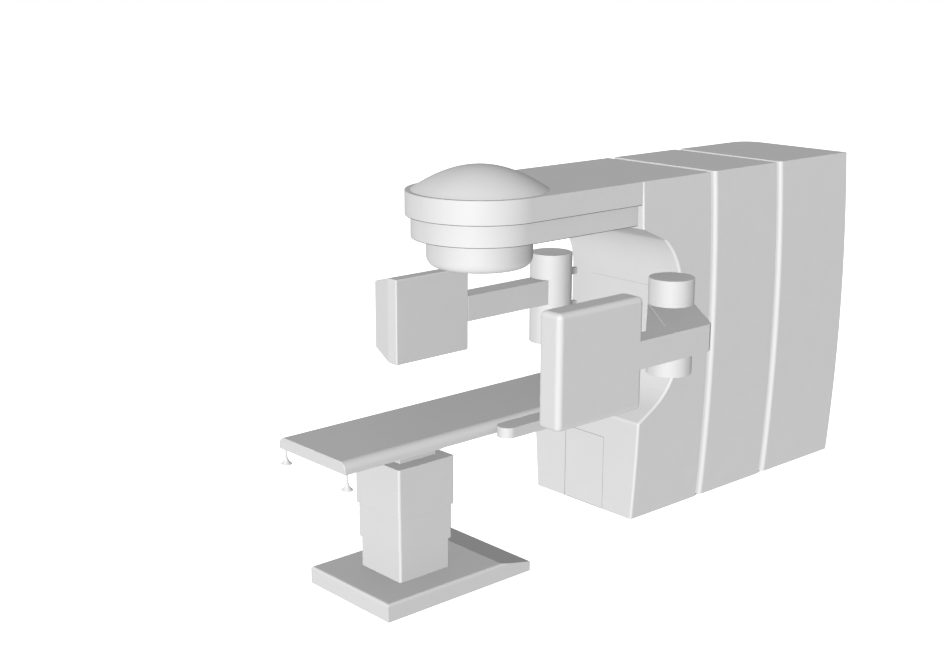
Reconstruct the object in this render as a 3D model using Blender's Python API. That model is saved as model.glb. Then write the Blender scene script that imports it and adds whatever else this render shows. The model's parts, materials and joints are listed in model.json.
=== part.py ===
"""C-arm radiotherapy machine: stand, turning gantry, two imaging arms and a treatment couch.

Lengths are metres. The origin is on the floor straight below the isocentre, +Y runs from the couch
to the stand along the gantry's axis, +X is to the right when facing the gantry, and +Z is up.
"""

import math

import bmesh
import bpy
from mathutils import Matrix

# Clearances
SEAT = 0.0003
RUN = 0.0008
WALL = 0.012

# Isocentre, where all the axes meet
ISO_Z = 1.483

# Covers of the gantry and the stand: one bowed outline, cut into three slabs
SIDE_HALF = 0.484
SIDE_BOW_R = 14.0
SIDE_BOW_Z = 1.35
SLAB_LOW = 0.1277
SLAB_TOP = 2.3435
GANTRY_FRONT = 0.947
GANTRY_DEPTH = 0.647
SLAB_GROOVE = 0.048
FRONT_COVER_DEPTH = 0.645
REAR_COVER_DEPTH = 0.763
COVER_EDGE_R = 0.019
REAR_CORNER_R = 0.15

# C-shaped recess in the gantry
RECESS_Z = 1.4334
RECESS_Y = 0.870
RECESS_R = 0.434
RECESS_FLAT = 0.3746

# Access panel in the gantry's lower front
ACCESS_HALF = 0.175
ACCESS_TOP = 0.630
ACCESS_GROOVE = 0.003
ACCESS_FLANGE = 0.020

# Arm and head
ARM_HALF = 0.4487
ARM_STEP_Z = 2.1970
ARM_LOW = 2.0628
ARM_LOW_HALF = 0.4146
ARM_PORT_HALF = 0.345
ARM_PORT_RIM = 0.020
DOME_R = 0.415
DOME_RISE = 0.148
DOME_WALL = 0.008
DOME_POWER = 1.95

# Collimator under the head
COLLIMATOR_R = 0.322
COLLIMATOR_LOW = 1.885
COLLIMATOR_FILLET = 0.060
COLLIMATOR_WALL = 0.012
COLLIMATOR_FLOOR = 0.020
APERTURE_R = 0.120
WINDOW_THICK = 0.003
JAW_HEIGHT = 0.050
JAW_WIDTH = 0.200
JAW_DEPTH = 0.110
JAW_HALF_GAP = 0.040
JAW_PLATE = 0.010
JAW_PLATE_HOLE = 0.200

# Main bearing and gantry drive
BEARING_BORE_R = 0.240
BEARING_R = 0.300
BEARING_OUT_R = 0.345
BEARING_WIDTH = 0.060
GEAR_MODULE = 0.010
RING_TEETH = 60
PINION_TEETH = 15
GEAR_WIDTH = 0.025
PINION_SHAFT_R = 0.020
MOTOR_R = 0.070
MOTOR_LENGTH = 0.180

# Steel frames
FRAME_PLATE = 0.038
GANTRY_FRAME_HALF = 0.380
GANTRY_FRAME_LOW = 0.200
GANTRY_FRAME_TOP = 2.280
RAIL_OUT = 0.330
RAIL_WIDTH = 0.040
RAIL_LOW = 2.120
RAIL_HEIGHT = 0.060
CROSSBAR_WIDTH = 0.060
CROSSBAR_Y = (0.50, 1.12)
STAND_FRAME_HALF = 0.385
STAND_FRAME_TOP = 2.200
STAND_FRAME_GAP = 0.120
STAND_PLATE = 0.040
STAND_INSET = 0.042
PLINTH_HALF = 0.200
PLINTH_INSET = 0.060
TRAY_HEIGHT = 0.022
RF_PORT_R = 0.150

# Accelerator parts inside the arm and the stand
GUIDE_R = 0.055
GUIDE_NECK_R = 0.047
GUIDE_Z = 2.265
GUN_GAP = 0.044
GUIDE_CELLS = 6
GUN_R = 0.048
GUN_LENGTH = 0.150
MAGNET_HALF = 0.140
MAGNET_FRONT = -0.160
MAGNET_REAR = 0.200
MAGNET_HEIGHT = 0.180
PRIMARY_R = 0.105
PRIMARY_HEIGHT = 0.140
COUNTERWEIGHT_WIDTH = 0.720
COUNTERWEIGHT_DEPTH = 0.250
COUNTERWEIGHT_HEIGHT = 0.200
KLYSTRON_R = 0.090
KLYSTRON_HEIGHT = 0.800
KLYSTRON_Y = 2.120
WAVEGUIDE = 0.050
CABINET_WIDTH = 0.600
CABINET_DEPTH = 0.500
CABINET_HEIGHT = 1.750

# Imaging arms: a post on each side of the recess, with the arm clamped round it
POST_X = 0.536
POST_Y = 1.1452
POST_R = 0.145
POST_LOW = 1.1132
POST_TOP = 1.7336
SPINDLE_R = 0.060
SPINDLE_SHARE = 0.6
BRACKET_IN = 0.440
BRACKET_OUT = 0.470
BRACKET_RISE = 0.045
IMAGING_ARM_LOW = 1.397
IMAGING_ARM_TOP = 1.565
ELBOW_ANGLE = math.radians(38.7)
ELBOW_CHAMFER = 0.020

# Kilovolt source on the right arm
SOURCE_NEAR = 0.888
SOURCE_THICK = 0.165
SOURCE_FRONT = -0.372
SOURCE_REAR = 0.309
SOURCE_HALF_HEIGHT = 0.335
SOURCE_EDGE_R = 0.035
SOURCE_PORT = 0.180
TUBE_R = 0.045
TUBE_LENGTH = 0.300
SOURCE_BAR = 0.148

# Flat detector on the left arm
DETECTOR_NEAR = 0.446
DETECTOR_FACE = 0.006
DETECTOR_SIDE = 0.083
DETECTOR_TAPER = 0.200
DETECTOR_INSET = 0.055
DETECTOR_FRONT = -0.286
DETECTOR_REAR = 0.310
DETECTOR_HALF_HEIGHT = 0.2725
DETECTOR_WALL = 0.008
PANEL_SIDE = 0.430
PANEL_THICK = 0.022
DETECTOR_BAR = 0.154

# Couch base and telescoping pedestal
BASE_HALF = 0.3734
BASE_FRONT = -1.026
BASE_REAR = 0.093
BASE_TOP = 0.1093
RAMP_START = -0.143
RAMP_LOW = 0.0608
BASE_EDGE = 0.010
PIVOT_R = 0.080
PIVOT_HEIGHT = 0.050
PEDESTAL_Y = -0.594
SLEEVE_HALF_X = 0.1862
SLEEVE_HALF_Y = 0.1914
SLEEVE_STEP = 0.0105
SLEEVE_EDGE_R = 0.015
LOWER_SLEEVE_TOP = 0.460
MIDDLE_SLEEVE_LOW = 0.300
MIDDLE_SLEEVE_TOP = 0.640
UPPER_SLEEVE_LOW = 0.515
UPPER_SLEEVE_TOP = 0.8186
SLEEVE_LID = 0.015
LIFT_CYLINDER_R = 0.060
LIFT_TUBE_R = 0.040
LIFT_ROD_R = 0.020

# Couch top and what carries it
NECK_HALF = 0.120
NECK_FRONT = -0.728
NECK_REAR = -0.455
NECK_HEIGHT = 0.053
CARRIAGE_HALF = 0.190
CARRIAGE_HEIGHT = 0.026
COUCH_HALF = 0.3153
COUCH_FRONT = -1.2694
COUCH_REAR = 0.870
COUCH_LOW = 0.9303
COUCH_THICK = 0.0715
COUCH_EDGE_R = 0.040
COUCH_RAIL_OUT = 0.160
COUCH_RAIL_WIDTH = 0.040
COUCH_RAIL_INSET = 0.120
BOARD_WIDTH = 0.1224
BOARD_FRONT = -0.175
BOARD_REAR = 0.700
BOARD_LOW = 0.923
BOARD_THICK = 0.065
KNOB_X = 0.290
KNOB_INSET = 0.030
KNOB_R = 0.033
KNOB_LOW = 0.832
STEM_R = 0.006
STEM_GRIP = 0.020

# Fineness of round shapes
ROUND = 36
FINE_ROUND = 48
BOW_STEPS = 8

# Sizes that follow from the ones above
GANTRY_REAR = GANTRY_FRONT + GANTRY_DEPTH
STAND_FRONT = GANTRY_REAR + SLAB_GROOVE
STAND_MIDDLE = STAND_FRONT + FRONT_COVER_DEPTH
REAR_COVER_FRONT = STAND_MIDDLE + SLAB_GROOVE
STAND_REAR = REAR_COVER_FRONT + REAR_COVER_DEPTH
RECESS_WALL_Y = RECESS_Y + RECESS_R
STAND_FRAME_FRONT = STAND_FRONT + STAND_INSET
STAND_FRAME_REAR = STAND_FRAME_FRONT + 2 * STAND_PLATE + STAND_FRAME_GAP
STAND_FLOOR = SLAB_LOW + TRAY_HEIGHT
BEARING_FRONT = STAND_FRAME_FRONT + (STAND_PLATE - BEARING_WIDTH) / 2
RING_GEAR_FRONT = STAND_FRAME_FRONT + STAND_PLATE + 0.035
PINION_Z = ISO_Z - GEAR_MODULE * (RING_TEETH + PINION_TEETH) / 2
RAIL_TOP = RAIL_LOW + RAIL_HEIGHT
GANTRY_PLATE_REAR = GANTRY_REAR - WALL - SEAT
GANTRY_PLATE_FRONT = GANTRY_PLATE_REAR - FRAME_PLATE
SOURCE_FAR = SOURCE_NEAR + SOURCE_THICK
X_JAW_LOW = COLLIMATOR_LOW + COLLIMATOR_FLOOR + SEAT
JAW_PLATE_LOW = X_JAW_LOW + JAW_HEIGHT + SEAT
Y_JAW_LOW = JAW_PLATE_LOW + JAW_PLATE + SEAT
COLLIMATOR_TOP = ARM_LOW + 0.003
CARRIAGE_LOW = UPPER_SLEEVE_TOP + NECK_HEIGHT + 2 * SEAT
COUCH_RAIL_LOW = CARRIAGE_LOW + CARRIAGE_HEIGHT + SEAT
COUCH_TOP_Z = COUCH_LOW + COUCH_THICK
KNOB_Y = COUCH_FRONT + KNOB_INSET

WHITE_PAINT = ((0.78, 0.78, 0.77), 0.45, 0.0)
GREY_PAINT = ((0.42, 0.42, 0.43), 0.50, 0.0)
STEEL = ((0.55, 0.56, 0.58), 0.35, 1.0)
DARK_STEEL = ((0.25, 0.26, 0.28), 0.45, 1.0)
COPPER = ((0.72, 0.43, 0.28), 0.30, 1.0)
PLASTIC = ((0.74, 0.74, 0.73), 0.55, 0.0)
DARK_PLASTIC = ((0.10, 0.10, 0.11), 0.40, 0.0)
CARBON = ((0.62, 0.62, 0.61), 0.35, 0.0)
TUNGSTEN = ((0.33, 0.33, 0.34), 0.40, 1.0)


def clear_scene():
    for obj in list(bpy.data.objects):
        bpy.data.objects.remove(obj)


def new_object(name, mesh):
    data = bpy.data.meshes.new(name)
    mesh.to_mesh(data)
    mesh.free()
    obj = bpy.data.objects.new(name, data)
    bpy.context.scene.collection.objects.link(obj)
    return obj


def piece(name, mesh, finish):
    """A named sub-part with a material of its own and smooth round faces."""
    obj = new_object(name, mesh)
    colour, roughness, metallic = finish
    material = bpy.data.materials.new(f"{name}_finish")
    material.use_nodes = True
    shader = material.node_tree.nodes["Principled BSDF"]
    shader.inputs["Base Color"].default_value = (*colour, 1.0)
    shader.inputs["Roughness"].default_value = roughness
    shader.inputs["Metallic"].default_value = metallic
    obj.data.materials.append(material)
    obj.data.shade_smooth()
    obj.data.set_sharp_from_angle(angle=math.radians(35))
    return obj


def combine(obj, mesh, operation="DIFFERENCE"):
    """Cuts a helper mesh from the object, or joins it on. Returns the hidden helper."""
    helper = new_object(f"{obj.name}_helper_{len(obj.modifiers) + 1}", mesh)
    helper.hide_render = True
    helper.display_type = "WIRE"
    helper.parent = obj
    modifier = obj.modifiers.new(operation.title(), "BOOLEAN")
    modifier.operation = operation
    modifier.solver = "EXACT"
    modifier.object = helper
    return helper


def round_edges(obj, width, segments=2):
    modifier = obj.modifiers.new("Edges", "BEVEL")
    modifier.width = width
    modifier.segments = segments
    modifier.limit_method = "ANGLE"
    modifier.angle_limit = math.radians(50)
    return modifier


def joint(name, place, parent=None):
    """An empty on a joint's axis, which carries the pieces that move with it."""
    empty = bpy.data.objects.new(name, None)
    empty.empty_display_size = 0.1
    bpy.context.scene.collection.objects.link(empty)
    offset = parent["place"] if parent else (0, 0, 0)
    empty["place"] = place
    empty.parent = parent
    empty.location = [place[i] - offset[i] for i in range(3)]
    return empty


def carry(empty, *objects):
    for obj in objects:
        obj.parent = empty
        obj.location = [-value for value in empty["place"]]


def at(axis, height, first, second):
    """A point of an outline drawn across an axis, at a height along that axis."""
    return {"X": (height, first, second), "Y": (first, height, second), "Z": (first, second, height)}[axis]


def loft(rings):
    """Closed solid through rings of equal length, with a cap on the first and the last."""
    mesh = bmesh.new()
    loops = [[mesh.verts.new(point) for point in ring] for ring in rings]
    for low, high in zip(loops, loops[1:]):
        for i in range(len(low)):
            j = (i + 1) % len(low)
            mesh.faces.new((low[i], low[j], high[j], high[i]))
    mesh.faces.new(loops[0])
    mesh.faces.new(loops[-1])
    bmesh.ops.recalc_face_normals(mesh, faces=mesh.faces)
    return mesh


def prism(outline, axis, low, high):
    return loft([[at(axis, height, *point) for point in outline] for height in (low, high)])


def box(low, high):
    outline = [(low[0], low[1]), (high[0], low[1]), (high[0], high[1]), (low[0], high[1])]
    return prism(outline, "Z", low[2], high[2])


def arc(centre, radius, start, end, steps):
    """Points of an arc in degrees, both ends included."""
    angles = [math.radians(start + (end - start) * i / steps) for i in range(steps + 1)]
    return [(centre[0] + radius * math.cos(a), centre[1] + radius * math.sin(a)) for a in angles]


def rounded_rectangle(low, high, radius, steps=4):
    """Outline of a rectangle with equal round corners."""
    points = []
    corners = ((high[0] - radius, high[1] - radius, 0), (low[0] + radius, high[1] - radius, 90),
               (low[0] + radius, low[1] + radius, 180), (high[0] - radius, low[1] + radius, 270))
    for x, y, start in corners:
        points += arc((x, y), radius, start, start + 90, steps)
    return points


def turned(profile, centre, axis="Z", steps=ROUND):
    """Solid of revolution from a closed outline of radius and height."""
    mesh = bmesh.new()
    verts = [mesh.verts.new((radius, 0, height)) for radius, height in profile]
    pairs = [(verts[i - 1], verts[i]) for i in range(len(verts))]
    edges = [mesh.edges.new(pair) for pair in pairs if pair[0].co.x > 0 or pair[1].co.x > 0]
    bmesh.ops.spin(mesh, geom=verts + edges, cent=(0, 0, 0), axis=(0, 0, 1), dvec=(0, 0, 0),
                   angle=math.tau, steps=steps, use_merge=True)
    bmesh.ops.remove_doubles(mesh, verts=mesh.verts, dist=1e-6)
    bmesh.ops.recalc_face_normals(mesh, faces=mesh.faces)
    turn = {"X": Matrix.Rotation(math.pi / 2, 4, "Y"), "Y": Matrix.Rotation(-math.pi / 2, 4, "X"),
            "Z": Matrix.Identity(4)}[axis]
    mesh.transform(Matrix.Translation(centre) @ turn)
    bmesh.ops.recalc_face_normals(mesh, faces=mesh.faces)
    return mesh


def disc(radius, centre, length, axis="Z", bore=0.0, steps=ROUND):
    """A cylinder, or a ring when it has a bore, from its centre point along the axis."""
    profile = [(bore, 0), (radius, 0), (radius, length), (bore, length)]
    return turned(profile, centre, axis, steps)


def half_width(height):
    """Half width of the bowed covers at a height."""
    rise = height - SIDE_BOW_Z
    return SIDE_HALF - SIDE_BOW_R + math.sqrt(SIDE_BOW_R ** 2 - rise ** 2)


def bowed_ring(y, inset, low, high, left_inset=0.0):
    """Outline across the covers, with bowed sides, drawn in by an inset."""
    heights = [low + (high - low) * i / BOW_STEPS for i in range(BOW_STEPS + 1)]
    right = [(half_width(z) - inset, y, z) for z in heights]
    left = [(-(half_width(z) - inset - left_inset), y, z) for z in reversed(heights)]
    return right + left


def bowed_slab(front, rear, inset=0.0, low=None, front_r=0.0, left_rear_r=0.0, steps=3):
    """A slab of the covers, with a round front edge and a round left rear corner if asked."""
    low = SLAB_LOW + inset if low is None else low
    high = SLAB_TOP - inset
    rings = []
    if front_r:
        for i in range(steps):
            turn = math.pi / 2 * i / steps
            draw_in = front_r * (1 - math.sin(turn))
            rings.append(bowed_ring(front + front_r * (1 - math.cos(turn)), inset + draw_in,
                                    low + draw_in, high - draw_in))
    rings.append(bowed_ring(front + front_r, inset, low, high))
    if left_rear_r:
        for i in range(2 * steps + 1):
            turn = math.pi / 2 * i / (2 * steps)
            rings.append(bowed_ring(rear - left_rear_r * (1 - math.sin(turn)), inset, low, high,
                                    left_rear_r * (1 - math.cos(turn))))
    else:
        rings.append(bowed_ring(rear, inset, low, high))
    return loft(rings)


def recess(wall=0.0):
    """The C-shaped recess, cut right across the gantry. A wall makes it that much larger."""
    radius = RECESS_R + wall
    upper = (RECESS_Y, RECESS_Z + RECESS_FLAT / 2)
    lower = (RECESS_Y, RECESS_Z - RECESS_FLAT / 2)
    front = GANTRY_FRONT - 0.2
    outline = [(front, upper[1] + radius)] + arc(upper, radius, 90, 0, 10)
    outline += arc(lower, radius, 0, -90, 10) + [(front, lower[1] - radius)]
    return prism(outline, "X", -SIDE_HALF - 0.1, SIDE_HALF + 0.1)


def stadium(half, rear):
    """Outline in plan of the arm: round at the head, straight back to the gantry."""
    return [(half, rear)] + arc((0, 0), half, 0, -180, FINE_ROUND // 2) + [(-half, rear)]


def gantry_cover():
    cover = piece("gantry_cover", bowed_slab(GANTRY_FRONT, GANTRY_REAR), WHITE_PAINT)
    combine(cover, recess())
    inside = combine(cover, bowed_slab(GANTRY_FRONT + WALL, GANTRY_REAR - WALL, WALL))
    combine(inside, recess(WALL))
    combine(cover, box((-ARM_PORT_HALF, GANTRY_FRONT - WALL, ARM_LOW + ARM_PORT_RIM),
                       (ARM_PORT_HALF, GANTRY_FRONT + 2 * WALL, SLAB_TOP - WALL - ARM_PORT_RIM / 2)))
    combine(cover, box((-ACCESS_HALF, GANTRY_FRONT - WALL, SLAB_LOW - WALL),
                       (ACCESS_HALF, GANTRY_FRONT + 2 * WALL, ACCESS_TOP)))
    combine(cover, disc(BEARING_R + 0.010, (0, GANTRY_REAR - 2 * WALL, ISO_Z), 3 * WALL, "Y"))
    return cover


def access_panel():
    back = GANTRY_FRONT + WALL + 2 * SEAT
    half = ACCESS_HALF - ACCESS_GROOVE
    panel = piece("access_panel", box((-half, GANTRY_FRONT, SLAB_LOW),
                                      (half, back + WALL / 4, ACCESS_TOP - ACCESS_GROOVE)), WHITE_PAINT)
    wide = ACCESS_HALF + ACCESS_FLANGE
    combine(panel, box((-wide, back, SLAB_LOW + WALL + SEAT),
                       (wide, back + WALL / 2, ACCESS_TOP + ACCESS_FLANGE)), "UNION")
    return panel


def arm_covers():
    rear = GANTRY_FRONT - SEAT
    upper = piece("arm_upper_cover", prism(stadium(ARM_HALF, rear), "Z", ARM_STEP_Z + SEAT, SLAB_TOP),
                  WHITE_PAINT)
    combine(upper, prism(stadium(ARM_HALF - WALL, rear + WALL), "Z", ARM_STEP_Z + SEAT + WALL,
                         SLAB_TOP - WALL))
    combine(upper, prism(stadium(ARM_LOW_HALF - WALL, rear + WALL), "Z", ARM_STEP_Z - WALL,
                         ARM_STEP_Z + 2 * WALL))
    combine(upper, disc(DOME_R - 0.035, (0, 0, SLAB_TOP - 2 * WALL), 3 * WALL))
    lower = piece("arm_lower_cover", prism(stadium(ARM_LOW_HALF, rear), "Z", ARM_LOW, ARM_STEP_Z),
                  WHITE_PAINT)
    combine(lower, prism(stadium(ARM_LOW_HALF - WALL, rear + WALL), "Z", ARM_LOW + WALL,
                         ARM_STEP_Z + WALL))
    combine(lower, disc(COLLIMATOR_R + 0.003, (0, 0, ARM_LOW - WALL), 3 * WALL))
    return [upper, lower]


def dome_height(share):
    """Rise of the dome at a share of its radius: nearly a ball's cap, a little flatter at the rim."""
    return DOME_RISE * (1 - share ** DOME_POWER)


def head_dome():
    base = SLAB_TOP + SEAT
    shares = [i / 9 for i in range(10)]
    outer = [(DOME_R * s, base + max(dome_height(s), 0.004)) for s in shares]
    inner = [(DOME_R * s, base + dome_height(s) - DOME_WALL) for s in shares[:8:2]]
    inner.append((DOME_R * shares[8], base))
    dome = turned(outer + [(DOME_R, base)] + inner[::-1], (0, 0, 0), "Z", FINE_ROUND)
    return piece("head_dome", dome, WHITE_PAINT)


def gantry_frame():
    """Back plate, two rails through the arm, crossbars and the round plate of the head."""
    frame = piece("gantry_frame", box((-GANTRY_FRAME_HALF, GANTRY_PLATE_FRONT, GANTRY_FRAME_LOW),
                                      (GANTRY_FRAME_HALF, GANTRY_PLATE_REAR, GANTRY_FRAME_TOP)), GREY_PAINT)
    for side in (-1, 1):
        ends = sorted((side * (RAIL_OUT - RAIL_WIDTH), side * RAIL_OUT))
        combine(frame, box((ends[0], 0, RAIL_LOW), (ends[1], GANTRY_PLATE_FRONT + 0.01, RAIL_TOP)), "UNION")
    combine(frame, disc(RAIL_OUT - 0.001, (0, 0, RAIL_LOW + 0.001), RAIL_HEIGHT - 0.002), "UNION")
    for y in CROSSBAR_Y:
        combine(frame, box((-RAIL_OUT + RAIL_WIDTH / 2, y, RAIL_LOW + 0.01),
                           (RAIL_OUT - RAIL_WIDTH / 2, y + CROSSBAR_WIDTH, GUIDE_Z - GUIDE_R - SEAT)),
                "UNION")
    combine(frame, disc(PRIMARY_R + SEAT, (0, 0, RAIL_LOW - 0.1), RAIL_HEIGHT + 0.2))
    return frame


def main_bearing():
    inner_front = GANTRY_REAR - WALL
    inner = disc(BEARING_R - RUN, (0, inner_front, ISO_Z), RING_GEAR_FRONT - SEAT - inner_front, "Y",
                 BEARING_BORE_R, FINE_ROUND)
    outer = disc(BEARING_OUT_R - SEAT, (0, BEARING_FRONT, ISO_Z), BEARING_WIDTH, "Y", BEARING_R,
                 FINE_ROUND)
    return piece("bearing_inner_ring", inner, STEEL), piece("bearing_outer_ring", outer, DARK_STEEL)


def gear_outline(teeth, centre_z, first_angle):
    """Outline of a gear with straight-flanked teeth and free backlash, across the Y axis."""
    pitch_r = GEAR_MODULE * teeth / 2
    flanks = ((-0.30, -1.15), (-0.13, 0.90), (0.13, 0.90), (0.30, -1.15))
    points = []
    for i in range(teeth):
        middle = first_angle + math.tau * i / teeth
        for share, height in flanks:
            angle = middle + share * math.tau / teeth
            radius = pitch_r + height * GEAR_MODULE
            points.append((radius * math.sin(angle), centre_z + radius * math.cos(angle)))
    return points


def gantry_drive():
    """Ring gear on the bearing, and the pinion below it with a tooth in a gap of the ring."""
    half_tooth = math.pi / RING_TEETH
    ring = prism(gear_outline(RING_TEETH, ISO_Z, math.pi + half_tooth), "Y", RING_GEAR_FRONT,
                 RING_GEAR_FRONT + GEAR_WIDTH)
    ring_gear = piece("gantry_ring_gear", ring, STEEL)
    combine(ring_gear, disc(BEARING_BORE_R, (0, RING_GEAR_FRONT - 0.01, ISO_Z), GEAR_WIDTH + 0.02, "Y"))
    pinion_mesh = prism(gear_outline(PINION_TEETH, PINION_Z, 0), "Y", RING_GEAR_FRONT,
                        RING_GEAR_FRONT + GEAR_WIDTH)
    pinion = piece("drive_pinion", pinion_mesh, STEEL)
    combine(pinion, disc(PINION_SHAFT_R, (0, RING_GEAR_FRONT + GEAR_WIDTH / 2, PINION_Z),
                         STAND_FRAME_REAR - RING_GEAR_FRONT - GEAR_WIDTH / 2, "Y"), "UNION")
    motor = turned([(0, 0), (MOTOR_R * 1.25, 0), (MOTOR_R * 1.25, 0.02), (MOTOR_R, 0.02),
                    (MOTOR_R, MOTOR_LENGTH), (0, MOTOR_LENGTH)],
                   (0, STAND_FRAME_REAR + SEAT, PINION_Z), "Y")
    return ring_gear, pinion, piece("gantry_motor", motor, DARK_STEEL)


def stand_plinth():
    """Welded base under both stand covers, with a tray that keys into each of them."""
    plinth = piece("stand_plinth", box((-PLINTH_HALF, STAND_FRONT + PLINTH_INSET, 0),
                                       (PLINTH_HALF, STAND_REAR - PLINTH_INSET, SLAB_LOW)), GREY_PAINT)
    tray_half = half_width(SLAB_LOW) - WALL - 2 * SEAT
    edge = WALL + 2 * SEAT
    trays = ((STAND_FRONT + edge, STAND_MIDDLE - edge),
             (REAR_COVER_FRONT + edge, STAND_REAR - REAR_CORNER_R))
    for front, rear in trays:
        combine(plinth, box((-tray_half, front, SLAB_LOW + RUN), (tray_half, rear, STAND_FLOOR)), "UNION")
        combine(plinth, box((-PLINTH_HALF * 0.9, front + PLINTH_INSET, SLAB_LOW - TRAY_HEIGHT),
                            (PLINTH_HALF * 0.9, rear - PLINTH_INSET, STAND_FLOOR - TRAY_HEIGHT / 3)), "UNION")
    return plinth


def stand_frame():
    """Two upright plates with side walls, which carry the main bearing and the gantry motor."""
    low = STAND_FLOOR + SEAT
    frame = piece("stand_frame", box((-STAND_FRAME_HALF, STAND_FRAME_FRONT, low),
                                     (STAND_FRAME_HALF, STAND_FRAME_REAR, STAND_FRAME_TOP)), GREY_PAINT)
    combine(frame, box((-STAND_FRAME_HALF + STAND_PLATE, STAND_FRAME_FRONT + STAND_PLATE, low + STAND_PLATE),
                       (STAND_FRAME_HALF - STAND_PLATE, STAND_FRAME_REAR - STAND_PLATE,
                        STAND_FRAME_TOP + 0.1)))
    combine(frame, disc(BEARING_OUT_R, (0, STAND_FRAME_FRONT - 0.05, ISO_Z), STAND_PLATE + 0.1, "Y",
                        steps=FINE_ROUND))
    combine(frame, disc(RF_PORT_R, (0, STAND_FRAME_REAR - STAND_PLATE - 0.05, ISO_Z),
                        STAND_PLATE + 0.1, "Y"))
    combine(frame, disc(PINION_SHAFT_R + RUN, (0, STAND_FRAME_REAR - STAND_PLATE - 0.03, PINION_Z),
                        STAND_PLATE + 0.06, "Y", steps=24))
    return frame


def stand_covers():
    front = piece("stand_front_cover", bowed_slab(STAND_FRONT, STAND_MIDDLE, front_r=COVER_EDGE_R),
                  WHITE_PAINT)
    combine(front, bowed_slab(STAND_FRONT + WALL, STAND_MIDDLE - WALL, WALL, low=SLAB_LOW - WALL))
    combine(front, disc(BEARING_OUT_R + 0.010, (0, STAND_FRONT - WALL, ISO_Z), 3 * WALL, "Y"))
    rear = piece("stand_rear_cover", bowed_slab(REAR_COVER_FRONT, STAND_REAR, front_r=COVER_EDGE_R,
                                                left_rear_r=REAR_CORNER_R), WHITE_PAINT)
    combine(rear, bowed_slab(REAR_COVER_FRONT + WALL, STAND_REAR - WALL, WALL, low=SLAB_LOW - WALL,
                             left_rear_r=REAR_CORNER_R - WALL))
    return front, rear


def radio_frequency_parts():
    """Klystron upright in the stand, its waveguide to the gantry's axis, and the modulator."""
    low = STAND_FLOOR + SEAT
    top = low + KLYSTRON_HEIGHT
    klystron = piece("klystron", turned(
        [(0, low), (KLYSTRON_R, low), (KLYSTRON_R, top - 0.25), (KLYSTRON_R * 0.6, top - 0.22),
         (KLYSTRON_R * 0.6, top), (0, top)], (0, KLYSTRON_Y, 0)), COPPER)
    half = WAVEGUIDE / 2
    guide = piece("rf_waveguide", box((-half, KLYSTRON_Y - half, top + SEAT),
                                      (half, KLYSTRON_Y + half, ISO_Z + half)), COPPER)
    front = GANTRY_REAR - WALL + RUN
    combine(guide, box((-half + 0.001, front, ISO_Z - half + 0.001),
                       (half - 0.001, KLYSTRON_Y, ISO_Z + half - 0.001)), "UNION")
    front = REAR_COVER_FRONT + (REAR_COVER_DEPTH - CABINET_DEPTH) / 2 - WALL
    cabinet = piece("modulator_cabinet", box((-CABINET_WIDTH / 2, front, low),
                                             (CABINET_WIDTH / 2, front + CABINET_DEPTH,
                                              low + CABINET_HEIGHT)), GREY_PAINT)
    round_edges(cabinet, 0.01, 1)
    return klystron, guide, cabinet


def accelerator_parts():
    """Disc-loaded guide, electron gun, bending magnet and primary collimator of the beam line."""
    start = MAGNET_REAR + SEAT
    gun_start = GANTRY_PLATE_FRONT - GUN_GAP - GUN_LENGTH
    length = gun_start - SEAT - start
    cell = length / (GUIDE_CELLS + 0.3)
    profile = [(0, 0)]
    for i in range(GUIDE_CELLS):
        for share, radius in ((0, GUIDE_R), (0.3, GUIDE_R), (0.3, GUIDE_NECK_R), (1, GUIDE_NECK_R)):
            profile.append((radius, cell * (i + share)))
    profile += [(GUIDE_R, GUIDE_CELLS * cell), (GUIDE_R, length), (0, length)]
    guide = piece("accelerator_guide", turned(profile, (0, start, GUIDE_Z), "Y", 20), COPPER)
    gun = turned([(0, 0), (GUN_R, 0), (GUN_R, 0.03), (GUN_R * 0.6, 0.05), (GUN_R * 0.6, GUN_LENGTH),
                  (0, GUN_LENGTH)], (0, gun_start, GUIDE_Z), "Y", 20)
    low = RAIL_TOP + SEAT
    outline = [(MAGNET_HALF, MAGNET_REAR)]
    outline += arc((0, MAGNET_FRONT + MAGNET_HALF), MAGNET_HALF, 0, -180, 16) + [(-MAGNET_HALF, MAGNET_REAR)]
    magnet = piece("bending_magnet", prism(outline, "Z", low, low + MAGNET_HEIGHT), DARK_STEEL)
    combine(magnet, box((-0.012, MAGNET_FRONT - 0.02, low + 0.05), (0.012, 0.08, low + MAGNET_HEIGHT + 0.02)))
    top = RAIL_TOP - SEAT
    primary = turned([(0.012, top), (PRIMARY_R, top), (PRIMARY_R, top - PRIMARY_HEIGHT),
                      (0.045, top - PRIMARY_HEIGHT)], (0, 0, 0))
    return (guide, piece("electron_gun", gun, STEEL), magnet,
            piece("primary_collimator", primary, TUNGSTEN))


def counterweight():
    rear = GANTRY_PLATE_FRONT - SEAT
    block = piece("counterweight", box((-COUNTERWEIGHT_WIDTH / 2, rear - COUNTERWEIGHT_DEPTH, GANTRY_FRAME_LOW),
                                       (COUNTERWEIGHT_WIDTH / 2, rear,
                                        GANTRY_FRAME_LOW + COUNTERWEIGHT_HEIGHT)), DARK_STEEL)
    round_edges(block, 0.012, 1)
    return block


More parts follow.
